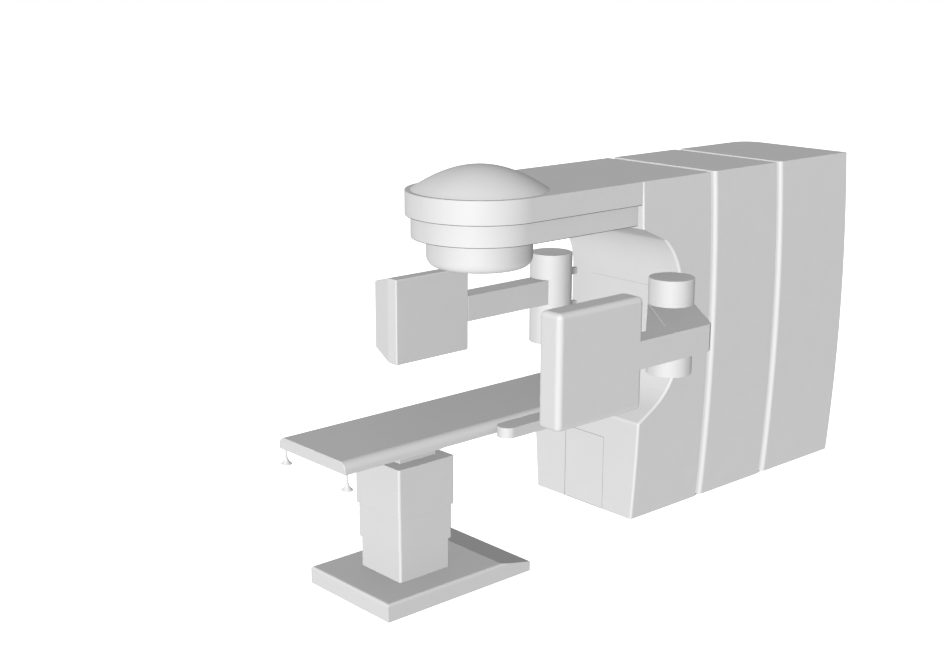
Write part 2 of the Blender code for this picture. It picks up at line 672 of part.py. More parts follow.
def collimator():
    """Round housing with its fillet, turntable, jaw plate, window and two pairs of jaws."""
    low = COLLIMATOR_LOW
    fillet = COLLIMATOR_FILLET
    inner = COLLIMATOR_R - COLLIMATOR_WALL
    profile = [(APERTURE_R, low)] + arc((COLLIMATOR_R - fillet, low + fillet), fillet, -90, 0, 5)
    profile += [(COLLIMATOR_R, COLLIMATOR_TOP), (inner, COLLIMATOR_TOP), (inner, low + fillet),
                (inner - fillet + COLLIMATOR_FLOOR, low + COLLIMATOR_FLOOR), (APERTURE_R, low + COLLIMATOR_FLOOR)]
    housing = piece("collimator_housing", turned(profile, (0, 0, 0), "Z", FINE_ROUND), WHITE_PAINT)
    hub_r = BEARING_BORE_R
    table = turned([(PRIMARY_R + 0.007, COLLIMATOR_TOP - 0.015), (inner - SEAT, COLLIMATOR_TOP - 0.015),
                    (inner - SEAT, COLLIMATOR_TOP - 0.001), (hub_r, COLLIMATOR_TOP - 0.001),
                    (hub_r, RAIL_LOW - 0.003), (PRIMARY_R + 0.007, RAIL_LOW - 0.003)], (0, 0, 0), "Z", FINE_ROUND)
    turntable = piece("collimator_turntable", table, STEEL)
    bearing_low = COLLIMATOR_TOP + 0.004
    ring = disc(RAIL_OUT - 0.02, (0, 0, bearing_low), RAIL_LOW - SEAT - bearing_low, bore=hub_r + RUN,
                steps=FINE_ROUND)
    bearing = piece("collimator_bearing", ring, DARK_STEEL)
    plate = piece("jaw_plate", disc(inner - SEAT, (0, 0, JAW_PLATE_LOW), JAW_PLATE, steps=FINE_ROUND), STEEL)
    hole = JAW_PLATE_HOLE / 2
    combine(plate, box((-hole, -hole, JAW_PLATE_LOW - 0.01), (hole, hole, JAW_PLATE_LOW + 0.03)))
    glass = disc(APERTURE_R - SEAT, (0, 0, low + WINDOW_THICK), WINDOW_THICK, steps=FINE_ROUND)
    window = piece("beam_window", glass, PLASTIC)
    return housing, turntable, bearing, plate, window


def jaw(name, side, across, low):
    """One tungsten jaw on a side of the beam, along X or along Y."""
    ends = sorted((side * JAW_HALF_GAP, side * (JAW_HALF_GAP + JAW_DEPTH)))
    half = JAW_WIDTH / 2
    if across == "X":
        mesh = box((ends[0], -half, low), (ends[1], half, low + JAW_HEIGHT))
    else:
        mesh = box((-half, ends[0], low), (half, ends[1], low + JAW_HEIGHT))
    block = piece(name, mesh, TUNGSTEN)
    round_edges(block, 0.006, 1)
    return block


def arm_post(side, label):
    """Fixed post with its spindle, and the cap over it. Each is bolted to the recess's wall."""
    centre = (side * POST_X, POST_Y, 0)
    cap_low = IMAGING_ARM_TOP + SEAT
    spindle_top = cap_low + SPINDLE_SHARE * (POST_TOP - cap_low)
    shoulder = IMAGING_ARM_LOW - SEAT
    profile = [(0, POST_LOW), (POST_R, POST_LOW), (POST_R, shoulder), (SPINDLE_R, shoulder),
               (SPINDLE_R, spindle_top), (0, spindle_top)]
    post = piece(f"{label}_arm_post", turned(profile, centre), WHITE_PAINT)
    bore = SPINDLE_R + SEAT
    profile = [(bore, cap_low), (POST_R, cap_low), (POST_R, POST_TOP), (0, POST_TOP),
               (0, spindle_top + SEAT), (bore, spindle_top + SEAT)]
    cap = piece(f"{label}_arm_cap", turned(profile, centre), WHITE_PAINT)
    ends = sorted((side * BRACKET_IN, side * BRACKET_OUT))
    flat_low = RECESS_Z - RECESS_FLAT / 2 + 0.02
    rear = RECESS_WALL_Y - SEAT
    start = POST_Y + SPINDLE_R + 0.03
    combine(post, box((ends[0], start, flat_low), (ends[1], rear, shoulder - 0.01)), "UNION")
    combine(cap, box((ends[0], start, cap_low + 0.01), (ends[1], rear, cap_low + 0.01 + BRACKET_RISE)),
            "UNION")
    return post, cap


def source_arm():
    """Elbow tangent to its post, and a straight bar to the source, cut from one thick plate."""
    across = (math.sin(ELBOW_ANGLE), math.cos(ELBOW_ANGLE))
    slope = math.tan(ELBOW_ANGLE)
    inner = (POST_X - POST_R * across[0], POST_Y - POST_R * across[1])
    outer = (POST_X + POST_R * across[0], POST_Y + POST_R * across[1])
    near = SOURCE_FAR - SOURCE_BAR
    inner_corner = inner[1] - (near - inner[0]) * slope
    outer_corner = outer[1] - (SOURCE_FAR - outer[0]) * slope
    chamfer_y = outer_corner + ELBOW_CHAMFER * slope
    end = SOURCE_REAR + SEAT
    turn = 90 - math.degrees(ELBOW_ANGLE)
    outline = [(near, inner_corner), (near, end), (SOURCE_FAR, end),
               (SOURCE_FAR, outer_corner - ELBOW_CHAMFER), (SOURCE_FAR - ELBOW_CHAMFER, chamfer_y)]
    outline += arc((POST_X, POST_Y), POST_R, turn, turn + 180, 20)
    arm = piece("source_arm", prism(outline, "Z", IMAGING_ARM_LOW, IMAGING_ARM_TOP), WHITE_PAINT)
    bore_arm(arm, POST_X)
    return arm


def bore_arm(arm, x):
    height = IMAGING_ARM_TOP - IMAGING_ARM_LOW
    combine(arm, disc(SPINDLE_R + RUN, (x, POST_Y, IMAGING_ARM_LOW - 0.02), height + 0.04))


def source_parts():
    """Rounded source housing with its beam port, the window in it and the x-ray tube behind."""
    low = (SOURCE_NEAR, SOURCE_FRONT, ISO_Z + 0.007 - SOURCE_HALF_HEIGHT)
    high = (SOURCE_FAR, SOURCE_REAR, ISO_Z + 0.007 + SOURCE_HALF_HEIGHT)
    housing = piece("source_housing", box(low, high), WHITE_PAINT)
    round_edges(housing, SOURCE_EDGE_R, 4)
    inside = combine(housing, box([value + WALL for value in low], [value - WALL for value in high]))
    round_edges(inside, SOURCE_EDGE_R - WALL)
    half = SOURCE_PORT / 2
    combine(housing, box((SOURCE_NEAR - 0.01, -half, ISO_Z - half), (SOURCE_NEAR + 2 * WALL, half, ISO_Z + half)))
    inset = half - SEAT
    window = piece("source_window", box((SOURCE_NEAR + 0.001, -inset, ISO_Z - inset),
                                        (SOURCE_NEAR + 0.004, inset, ISO_Z + inset)), DARK_PLASTIC)
    tube_x = SOURCE_NEAR + SOURCE_THICK / 2
    tube = piece("xray_tube", turned(
        [(0, 0), (TUBE_R * 0.7, 0), (TUBE_R, 0.03), (TUBE_R, TUBE_LENGTH - 0.03),
         (TUBE_R * 0.7, TUBE_LENGTH), (0, TUBE_LENGTH)],
        (tube_x, -TUBE_LENGTH / 2, ISO_Z), "Y", 20), STEEL)
    combine(tube, box((tube_x, -0.06, ISO_Z - 0.03), (SOURCE_FAR - WALL - SEAT, 0.06, ISO_Z + 0.03)), "UNION")
    return housing, window, tube


def detector_arm():
    x = -DETECTOR_NEAR
    arm = piece("detector_arm", box((x - DETECTOR_BAR, DETECTOR_REAR + SEAT, IMAGING_ARM_LOW),
                                    (x, POST_Y, IMAGING_ARM_TOP)), WHITE_PAINT)
    combine(arm, disc(POST_R, (-POST_X, POST_Y, IMAGING_ARM_LOW), IMAGING_ARM_TOP - IMAGING_ARM_LOW), "UNION")
    bore_arm(arm, -POST_X)
    return arm


def detector_ring(x, inset):
    low = ISO_Z - DETECTOR_HALF_HEIGHT + inset
    high = ISO_Z + DETECTOR_HALF_HEIGHT - inset
    front = DETECTOR_FRONT + inset
    rear = DETECTOR_REAR - inset
    return [(x, front, low), (x, rear, low), (x, rear, high), (x, front, high)]


def detector_parts():
    """Tapered detector housing, its flat face towards the axis and the panel behind the face."""
    near = -DETECTOR_NEAR
    mouth = near - DETECTOR_FACE - SEAT
    shoulder = near - DETECTOR_SIDE
    back = shoulder - DETECTOR_TAPER
    housing = piece("detector_housing", loft(
        [detector_ring(mouth, 0), detector_ring(shoulder, 0), detector_ring(back, DETECTOR_INSET)]),
        WHITE_PAINT)
    wall = DETECTOR_WALL
    combine(housing, loft([detector_ring(near, wall), detector_ring(shoulder, wall),
                           detector_ring(back + wall, DETECTOR_INSET + wall)]))
    face = piece("detector_face", prism([point[1:] for point in detector_ring(near, 0)], "X",
                                        near - DETECTOR_FACE, near), WHITE_PAINT)
    half = PANEL_SIDE / 2
    panel = piece("flat_panel", box((mouth - PANEL_THICK, -half, ISO_Z - half),
                                    (mouth, half, ISO_Z + half)), DARK_PLASTIC)
    round_edges(panel, 0.004, 1)
    return housing, face, panel


def couch_base():
    outline = [(BASE_FRONT, 0), (BASE_REAR, 0), (BASE_REAR, RAMP_LOW), (RAMP_START, BASE_TOP),
               (BASE_FRONT, BASE_TOP)]
    plate = piece("couch_base_plate", prism(outline, "X", -BASE_HALF, BASE_HALF), WHITE_PAINT)
    round_edges(plate, BASE_EDGE)
    combine(plate, disc(PIVOT_R + RUN, (0, 0, -0.02), PIVOT_HEIGHT + 0.02))
    pivot = piece("floor_pivot", disc(PIVOT_R, (0, 0, 0), PIVOT_HEIGHT - SEAT), STEEL)
    return plate, pivot


def sleeve(name, step, low, high, lid=0.0):
    """One stage of the pedestal: a square tube with round edges, and a lid on the top one."""
    x = SLEEVE_HALF_X + step * SLEEVE_STEP
    y = SLEEVE_HALF_Y + step * SLEEVE_STEP
    outline = rounded_rectangle((-x, PEDESTAL_Y - y), (x, PEDESTAL_Y + y), SLEEVE_EDGE_R)
    tube = piece(name, prism(outline, "Z", low, high), WHITE_PAINT)
    wall = SLEEVE_STEP - RUN
    outline = rounded_rectangle((-x + wall, PEDESTAL_Y - y + wall), (x - wall, PEDESTAL_Y + y - wall),
                                SLEEVE_EDGE_R - wall)
    combine(tube, prism(outline, "Z", low - 0.01, high - lid if lid else high + 0.01))
    return tube


def lift_stages():
    """Three-stage lifting column inside the sleeves."""
    low = BASE_TOP + SEAT
    bore = LIFT_TUBE_R + SEAT
    cylinder = turned([(0, low), (LIFT_CYLINDER_R, low), (LIFT_CYLINDER_R, LOWER_SLEEVE_TOP - 0.01),
                       (bore, LOWER_SLEEVE_TOP - 0.01), (bore, low + 0.01), (0, low + 0.01)],
                      (0, PEDESTAL_Y, 0), steps=32)
    tube_low = MIDDLE_SLEEVE_LOW
    tube = disc(LIFT_TUBE_R, (0, PEDESTAL_Y, tube_low), MIDDLE_SLEEVE_TOP - 0.02 - tube_low,
                bore=LIFT_ROD_R + SEAT, steps=32)
    rod_low = LOWER_SLEEVE_TOP
    rod = disc(LIFT_ROD_R, (0, PEDESTAL_Y, rod_low), UPPER_SLEEVE_TOP - SLEEVE_LID - SEAT - rod_low, steps=24)
    return (piece("lift_cylinder", cylinder, DARK_STEEL), piece("lift_tube", tube, STEEL),
            piece("lift_rod", rod, STEEL))


def couch_slides():
    """Neck on the pedestal, the carriage that slides across it and the rails under the couch."""
    low = UPPER_SLEEVE_TOP + SEAT
    neck = piece("couch_neck", box((-NECK_HALF, NECK_FRONT, low),
                                   (NECK_HALF, NECK_REAR, low + NECK_HEIGHT)), WHITE_PAINT)
    carriage = piece("lateral_carriage", box((-CARRIAGE_HALF, NECK_FRONT, CARRIAGE_LOW),
                                             (CARRIAGE_HALF, NECK_REAR, CARRIAGE_LOW + CARRIAGE_HEIGHT)),
                     GREY_PAINT)
    front = COUCH_FRONT + COUCH_RAIL_INSET
    rear = COUCH_REAR - COUCH_RAIL_INSET
    rails = piece("couch_rails", box((-COUCH_RAIL_OUT, front, COUCH_RAIL_LOW),
                                     (COUCH_RAIL_OUT, rear, COUCH_LOW - SEAT)), GREY_PAINT)
    inside = COUCH_RAIL_OUT - COUCH_RAIL_WIDTH
    combine(rails, box((-inside, front + COUCH_RAIL_WIDTH, COUCH_RAIL_LOW - 0.02),
                       (inside, rear - COUCH_RAIL_WIDTH, COUCH_LOW + 0.02)))
    return neck, carriage, rails


def couch_top():
    """Flat couch top with round upper edges along both sides, and two sockets for the knobs."""
    corner = COUCH_HALF - COUCH_EDGE_R
    high = COUCH_TOP_Z - COUCH_EDGE_R
    outline = [(-COUCH_HALF, COUCH_LOW), (COUCH_HALF, COUCH_LOW)]
    outline += arc((corner, high), COUCH_EDGE_R, 0, 90, 6) + arc((-corner, high), COUCH_EDGE_R, 90, 180, 6)
    top = piece("couch_top", prism(outline, "Y", COUCH_FRONT, COUCH_REAR), CARBON)
    for side in (-1, 1):
        combine(top, disc(STEM_R + SEAT, (side * KNOB_X, KNOB_Y, COUCH_LOW - 0.01), STEM_GRIP + 0.012,
                          steps=16))
    return top


def side_arm_board():
    radius = BOARD_WIDTH / 2
    x = COUCH_HALF + SEAT + radius
    outline = arc((x, BOARD_REAR - radius), radius, 0, 180, 14)
    outline += arc((x, BOARD_FRONT + radius), radius, 180, 360, 14)
    return piece("side_arm_board", prism(outline, "Z", BOARD_LOW, BOARD_LOW + BOARD_THICK), WHITE_PAINT)


def release_knob(side, label):
    """Bell-shaped knob on a thin stem that runs up into the couch."""
    shoulder = KNOB_LOW + 0.041
    top = COUCH_LOW + STEM_GRIP
    profile = [(0, KNOB_LOW), (KNOB_R, KNOB_LOW), (KNOB_R, KNOB_LOW + 0.004), (KNOB_R * 0.55, KNOB_LOW + 0.022),
               (KNOB_R * 0.33, shoulder), (STEM_R, shoulder + 0.004), (STEM_R, top), (0, top)]
    return piece(f"{label}_release_knob", turned(profile, (side * KNOB_X, KNOB_Y, 0), steps=24), PLASTIC)


def build_gantry():
    """Everything that turns about the gantry's axis, and the fixed stand behind it."""
    axis = joint("gantry_axis", (0, GANTRY_REAR, ISO_Z))
    inner_ring, _ = main_bearing()
    ring_gear, pinion, _ = gantry_drive()
    stand_plinth()
    stand_frame()
    stand_covers()
    radio_frequency_parts()
    carry(joint("pinion_axis", (0, STAND_FRAME_REAR, PINION_Z)), pinion)
    carry(axis, gantry_cover(), access_panel(), head_dome(), gantry_frame(), counterweight(),
          inner_ring, ring_gear, *arm_covers(), *accelerator_parts())
    return axis


def build_collimator(gantry_axis):
    axis = joint("collimator_axis", (0, 0, COLLIMATOR_TOP), gantry_axis)
    housing, turntable, bearing, plate, window = collimator()
    carry(gantry_axis, bearing)
    carry(axis, housing, turntable, plate, window)
    pairs = (("x_jaw_left", -1, "X", X_JAW_LOW), ("x_jaw_right", 1, "X", X_JAW_LOW),
             ("y_jaw_front", -1, "Y", Y_JAW_LOW), ("y_jaw_rear", 1, "Y", Y_JAW_LOW))
    for name, side, across, low in pairs:
        slide = joint(f"{name}_slide", (0, 0, low), axis)
        carry(slide, jaw(name, side, across, low))


def build_imaging_arms(gantry_axis):
    for side, label in ((-1, "left"), (1, "right")):
        carry(gantry_axis, *arm_post(side, label))
    right = joint("source_arm_axis", (POST_X, POST_Y, ISO_Z), gantry_axis)
    carry(right, source_arm(), *source_parts())
    left = joint("detector_arm_axis", (-POST_X, POST_Y, ISO_Z), gantry_axis)
    carry(left, detector_arm(), *detector_parts())


def build_couch():
    turn = joint("couch_axis", (0, 0, 0))
    plate, _ = couch_base()
    cylinder, tube, rod = lift_stages()
    carry(turn, plate, cylinder, sleeve("lower_sleeve", 0, BASE_TOP + SEAT, LOWER_SLEEVE_TOP))
    middle = joint("middle_lift", (0, PEDESTAL_Y, MIDDLE_SLEEVE_LOW), turn)
    carry(middle, tube, sleeve("middle_sleeve", 1, MIDDLE_SLEEVE_LOW, MIDDLE_SLEEVE_TOP))
    upper = joint("upper_lift", (0, PEDESTAL_Y, UPPER_SLEEVE_LOW), middle)
    neck, carriage, rails = couch_slides()
    carry(upper, rod, neck, sleeve("upper_sleeve", 2, UPPER_SLEEVE_LOW, UPPER_SLEEVE_TOP, SLEEVE_LID))
    across = joint("lateral_slide", (0, PEDESTAL_Y, CARRIAGE_LOW), upper)
    carry(across, carriage)
    along = joint("longitudinal_slide", (0, PEDESTAL_Y, COUCH_LOW), across)
    carry(along, rails, couch_top(), side_arm_board())
    for side, label in ((-1, "left"), (1, "right")):
        pull = joint(f"{label}_knob_slide", (side * KNOB_X, KNOB_Y, KNOB_LOW), along)
        carry(pull, release_knob(side, label))


def main():
    clear_scene()
    gantry_axis = build_gantry()
    build_collimator(gantry_axis)
    build_imaging_arms(gantry_axis)
    build_couch()


main()
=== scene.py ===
"""Dresses the treatment machine with softened covers, paint, plastic, metal, light and a camera.

Lengths are metres in the frame's axes: +Y from the couch to the stand, +X to the right when facing the
gantry and +Z up, with the origin on the floor below the isocentre.
"""

import json
import math

import bmesh
import bpy
from mathutils import Matrix, Vector


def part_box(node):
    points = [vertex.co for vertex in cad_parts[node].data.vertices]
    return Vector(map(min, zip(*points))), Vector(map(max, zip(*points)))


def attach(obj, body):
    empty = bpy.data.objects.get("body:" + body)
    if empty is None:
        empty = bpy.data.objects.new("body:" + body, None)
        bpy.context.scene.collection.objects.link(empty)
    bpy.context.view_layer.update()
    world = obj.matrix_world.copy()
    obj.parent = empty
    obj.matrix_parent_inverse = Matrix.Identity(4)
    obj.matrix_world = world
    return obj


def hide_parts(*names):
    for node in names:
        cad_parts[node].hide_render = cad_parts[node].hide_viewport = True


# Camera, solved from the machine's own edges
CAMERA_PLACE = (6.454, -5.854, 3.700)
CAMERA_TURN = (75.662, 0.170, 48.040)
CAMERA_LENS = 56.27
CAMERA_SENSOR = 36.0

# Studio light: name, way to the lamp, strength
LAMPS = (("key_lamp", (0.537, -0.780, 0.335), 4.62),
         ("left_fill", (-1.0, 0.0, 0.0), 2.26),
         ("rear_fill", (0.0, 0.95, -0.3), 1.66),
         ("floor_bounce", (0.0, 0.0, -1.0), 2.26))
LAMP_SOFTNESS = 8
SURROUND = 0.20
FLOOR_SIZE = 60
FLOOR_DROP = 0.001

# Mesh work: reach of the tests for a plane and for an end, length of a long edge, merge distances,
# likeness of two directions, gap between hidden faces, and angles in degrees
ON_PLANE = 1e-4
NEAR_END = 0.01
LONG_EDGE = 0.1
MERGE = 1e-5
FINE_MERGE = 1e-6
SAME_WAY = 0.999
APART = 0.0002
FLAT_ANGLE = 0.3
SMOOTH_ANGLE = 32

# Finishes: gloss of a coat, reach of the patches in a noise, strength of the grain
COAT_ROUGHNESS = 0.25
PATCH_REACH = (0.3, 0.7)
GRAIN_STRENGTH = 0.6

# Slabs of the stand and the gantry
ISO_Z = 1.483
SIDE_HALF = 0.484
SIDE_BOW_R = 14.0
SIDE_BOW_Z = 1.35
SIDE_BANDS = 16
SLAB_EDGE = 0.027
REAR_CORNER_R = 0.15
COVER_EASE = 0.0018

# Recess of the gantry: angles where its ceiling is flat, and where its floor turns straight
RECESS_R = 0.434
RECESS_Y = 0.870
RECESS_Z = 1.4334
RECESS_FLAT = 0.3746
RECESS_WALL = RECESS_Y + RECESS_R
RECESS_UPPER_Z = RECESS_Z + RECESS_FLAT / 2
RECESS_LOWER_Z = RECESS_Z - RECESS_FLAT / 2
RECESS_RUN = 0.1
RECESS_EASE = 0.016
CEILING_FLAT = (53, 78)
FLOOR_SLOPE = 60

# Panels, joints and vents
SEAM = 0.003
SEAM_DEPTH = 0.004
STRIP_DEPTH = 0.002
PANEL_EASE = 0.0012
WALL_SEAM = 0.001
WALL_SEAM_SINK = 0.0004
WALL_SEAM_Z = 1.603
WALL_SEAM_START = -0.30
ACCESS_HALF = 0.175
ACCESS_TOP = 0.630
ACCESS_DEPTH = 0.012
ACCESS_BACK = 0.0003
DOOR_HALF = 0.300
DOOR_LOW = 0.340
DOOR_TOP = 1.960
VENT_START = 0.120
VENT_HALF = 0.220
VENT_PITCH = 0.034
VENT_SLOT = 0.014
VENT_DEPTH = 0.0028
VENT_ROWS = 7

# Arm and head
ARM_EASE = 0.0025
# Size of the dark strip under each arm layer, which is painted shade for the shadow line between the layers
SEAL_HEIGHT = 0.004
SEAL_WIDTH = 0.012
SEAL_SINK = 0.0008
DOME_RISE = 0.148
DOME_RIM = 0.002
DOME_POWER = 1.95
DOME_POINTS = 22
COLLIMATOR_FILLET = 0.060
COLLIMATOR_WALL = 0.012
COLLIMATOR_FLOOR = 0.020
SHOULDER_INSET = 0.065
SHOULDER_HEIGHT = 0.075
APERTURE_R = 0.120
RIM_R = 0.152
RIM_HEIGHT = 0.004
RIM_FILLET = 0.0015

# Imaging arms
SOURCE_EDGE_R = 0.035
PORT_SIZE = 0.180
PORT_DEPTH = 0.0045
WINDOW_GAP = 0.002
WINDOW_EASE = 0.0008
BAR_EASE = 0.003
BAR_LET_IN = 0.0005
POST_EASE = 0.003
WEB_CORNERS = ((0.427, 1.051), (0.447, 1.034), (0.907, 0.665), (0.907, 0.490))
WEB_SINK = 0.003
DETECTOR_SIDE = 0.083
DETECTOR_INSET = 0.055
DETECTOR_EASE = 0.009

# Couch. The parts with small roundings are name, solid, rounding
RAMP_START = -0.143
RAMP_LOW = 0.0608
BASE_EASE = 0.018
PIVOT_HALF = 0.083
PIVOT_HEIGHT = 0.052
COUCH_EDGE_R = 0.050
COUCH_EASE = 0.003
BOARD_R = 0.0612
BOARD_EASE = 0.005
COUCH_PARTS = (("lower_tube", "lower_sleeve", 0.002), ("middle_tube", "middle_sleeve", 0.002),
               ("upper_tube", "upper_sleeve", 0.003), ("neck_block", "couch_neck", 0.003),
               ("carriage_block", "lateral_carriage", 0.002), ("couch_frame", "couch_rails", 0.002))

# Release knobs. The bell is shares of the knob's radius and heights above its underside
KNOB_BELL = ((1.0, 0.005), (0.62, 0.016), (0.36, 0.030), (0.30, 0.041))
KNOB_NECK = 0.045
KNOB_STEM_R = 0.006
KNOB_EASE = 0.002

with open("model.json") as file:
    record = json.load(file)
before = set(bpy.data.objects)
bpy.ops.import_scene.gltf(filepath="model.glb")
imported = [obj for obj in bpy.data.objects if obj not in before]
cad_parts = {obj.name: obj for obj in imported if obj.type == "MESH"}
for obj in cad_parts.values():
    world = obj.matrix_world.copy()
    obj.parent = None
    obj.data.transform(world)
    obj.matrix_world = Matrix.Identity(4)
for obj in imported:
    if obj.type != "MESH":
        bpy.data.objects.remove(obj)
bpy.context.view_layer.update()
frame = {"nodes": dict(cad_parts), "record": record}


# Meshes
def edges_between(mesh, test):
    """Edges whose two ends both pass a test of their place."""
    return [edge for edge in mesh.edges if all(test(vert.co) for vert in edge.verts)]


def sharp_edges(mesh, degrees=50):
    """Edges where two faces meet at more than an angle."""
    limit = math.radians(degrees)
    return [edge for edge in mesh.edges
            if len(edge.link_faces) == 2 and edge.calc_face_angle(0) > limit]


def climb(edge):
    """Height between the two ends of an edge."""
    return abs(edge.verts[0].co.z - edge.verts[1].co.z)


def soften(mesh, edges, width, segments=3, clamp=True):
    """Rounds edges off as a mould or a file would."""
    bmesh.ops.bevel(mesh, geom=edges, offset=width, offset_type="OFFSET", segments=segments, profile=0.5,
                    affect="EDGES", clamp_overlap=clamp, material=-1)


def round_corners(mesh, corners, radius, segments=12):
    """Turns corners of a flat outline into arcs."""
    bmesh.ops.bevel(mesh, geom=corners, offset=radius, offset_type="OFFSET", segments=segments,
                    profile=0.5, affect="VERTICES", clamp_overlap=False, material=-1)
    bmesh.ops.remove_doubles(mesh, verts=mesh.verts, dist=MERGE)


def flat_outline(points):
    """A flat face through a few corners."""
    mesh = bmesh.new()
    mesh.faces.new([mesh.verts.new(point) for point in points])
    return mesh


def rectangle(low, high, axis):
    """A flat rectangle across an axis, at the low end of a box."""
    x0, y0, z0 = low
    x1, y1, z1 = high
    return flat_outline({"Y": [(x0, y0, z0), (x1, y0, z0), (x1, y0, z1), (x0, y0, z1)],
                         "Z": [(x0, y0, z0), (x1, y0, z0), (x1, y1, z0), (x0, y1, z0)]}[axis])


def thicken(mesh, along):
    """Pulls a flat outline into a solid."""
    pulled = bmesh.ops.extrude_face_region(mesh, geom=mesh.faces[:])["geom"]
    bmesh.ops.translate(mesh, verts=[item for item in pulled if isinstance(item, bmesh.types.BMVert)],
                        vec=along)
    bmesh.ops.recalc_face_normals(mesh, faces=mesh.faces)
    return mesh


def block(low, high):
    """A plain block between two corners, ready to be cut and softened."""
    mesh = bmesh.new()
    bmesh.ops.create_cube(mesh, size=1)
    bmesh.ops.scale(mesh, verts=mesh.verts, vec=[high[i] - low[i] for i in range(3)])
    bmesh.ops.translate(mesh, verts=mesh.verts, vec=[(high[i] + low[i]) / 2 for i in range(3)])
    return mesh


def slice_at(mesh, place, normal, faces=None, clear=False):
    """Cuts the mesh, or some faces of it, along a plane. Clearing drops the side behind the plane."""
    faces = list(mesh.faces) if faces is None else faces
    geom = set(faces)
    for face in faces:
        geom.update(face.verts)
        geom.update(face.edges)
    cut = bmesh.ops.bisect_plane(mesh, geom=list(geom), dist=FINE_MERGE, plane_co=place, plane_no=normal,
                                 clear_inner=clear)["geom_cut"]
    if clear:
        rim = [item for item in cut if isinstance(item, bmesh.types.BMEdge)]
        bmesh.ops.holes_fill(mesh, edges=rim, sides=0)


def facing(mesh, direction, place):
    """Flat faces that look along a direction and lie on a plane through a place."""
    look = Vector(direction)
    level = look.dot(Vector(place))
    return [face for face in mesh.faces
            if face.normal.dot(look) > SAME_WAY
            and abs(face.calc_center_median().dot(look) - level) < ON_PLANE]


def inside(face, low, high):
    """Whether all corners of a face lie in a box."""
    return all(low[i] - MERGE <= vert.co[i] <= high[i] + MERGE for vert in face.verts for i in range(3))


def pocket(mesh, direction, low, high, depth):
    """Sinks a rectangular pocket into a flat face, over the part of it within a box."""
    for axis in range(3):
        if abs(direction[axis]) > 0.5:
            continue
        for value in (low[axis], high[axis]):
            place = [0, 0, 0]
            normal = [0, 0, 0]
            place[axis] = value
            normal[axis] = 1
            slice_at(mesh, place, normal, facing(mesh, direction, low))
    chosen = [face for face in facing(mesh, direction, low) if inside(face, low, high)]
    pulled = bmesh.ops.extrude_face_region(mesh, geom=chosen)["geom"]
    bmesh.ops.delete(mesh, geom=chosen, context="FACES_ONLY")
    verts = [item for item in pulled if isinstance(item, bmesh.types.BMVert)]
    bmesh.ops.translate(mesh, verts=verts, vec=[-value * depth for value in direction])
    bmesh.ops.recalc_face_normals(mesh, faces=mesh.faces)


def half_width(height):
    """Half the width between the bowed sides at a height."""
    return SIDE_HALF - SIDE_BOW_R + math.sqrt(SIDE_BOW_R ** 2 - (height - SIDE_BOW_Z) ** 2)


def bow_sides(mesh, low, high):
    """Bows straight sides outwards, band by band."""
    for i in range(1, SIDE_BANDS):
        slice_at(mesh, (0, 0, low + (high - low) * i / SIDE_BANDS), (0, 0, 1))
    for vert in mesh.verts:
        vert.co.x *= half_width(vert.co.z) / SIDE_HALF


def turned(points, centre, steps=96, fillets=()):
    """A turned solid from a closed outline of radius and height. Fillets are corner and radius pairs."""
    mesh = flat_outline([(radius, 0, height) for radius, height in points])
    corners = list(mesh.verts)
    for corner, radius in fillets:
        bmesh.ops.bevel(mesh, geom=[corners[corner]], offset=radius, offset_type="OFFSET", segments=8,
                        profile=0.5, affect="VERTICES", clamp_overlap=False, material=-1)
    bmesh.ops.delete(mesh, geom=mesh.faces[:], context="FACES_ONLY")
    bmesh.ops.delete(mesh, geom=edges_between(mesh, lambda place: place.x < FINE_MERGE),
                     context="EDGES_FACES")
    bmesh.ops.spin(mesh, geom=mesh.verts[:] + mesh.edges[:], cent=(0, 0, 0), axis=(0, 0, 1),
                   dvec=(0, 0, 0), angle=math.tau, steps=steps, use_merge=True)
    bmesh.ops.remove_doubles(mesh, verts=mesh.verts, dist=FINE_MERGE)
    bmesh.ops.translate(mesh, verts=mesh.verts, vec=centre)
    bmesh.ops.recalc_face_normals(mesh, faces=mesh.faces)
    return mesh


def node_copy(node):
    """The solid of a node, merged and with its flat faces whole again."""
    mesh = bmesh.new()
    mesh.from_mesh(frame["nodes"][node].data)
    bmesh.ops.remove_doubles(mesh, verts=mesh.verts, dist=MERGE)
    bmesh.ops.dissolve_limit(mesh, angle_limit=math.radians(FLAT_ANGLE), verts=mesh.verts, edges=mesh.edges)
    return mesh


def piece(name, mesh, material, *nodes, body=None, crease=None):
    """Makes the object, gives it its finish, and lets it ride with the body of the nodes it stands for.

    A crease is a test of place: edges with both ends in it stay sharp.
    """
    data = bpy.data.meshes.new(name)
    mesh.to_mesh(data)
    mesh.free()
    obj = bpy.data.objects.new(name, data)
    bpy.context.scene.collection.objects.link(obj)
    data.materials.append(material)
    data.shade_smooth()
    data.set_sharp_from_angle(angle=math.radians(SMOOTH_ANGLE))
    if crease:
        for edge in data.edges:
            edge.use_edge_sharp |= all(crease(data.vertices[index].co) for index in edge.vertices)
    even = obj.modifiers.new("Even flat faces", "WEIGHTED_NORMAL")
    even.keep_sharp = True
    holder = body or next(key for key, held in frame["record"]["behaviour"]["bodies"].items()
                          if nodes[0] in held)
    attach(obj, holder)
    if nodes:
        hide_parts(*nodes)
    return obj


# Materials
def hex_colour(code):
    """Linear colour of an sRGB hex value."""
    values = [int(code[i:i + 2], 16) / 255 for i in (1, 3, 5)]
    return [value / 12.92 if value <= 0.04045 else ((value + 0.055) / 1.055) ** 2.4 for value in values] + [1]


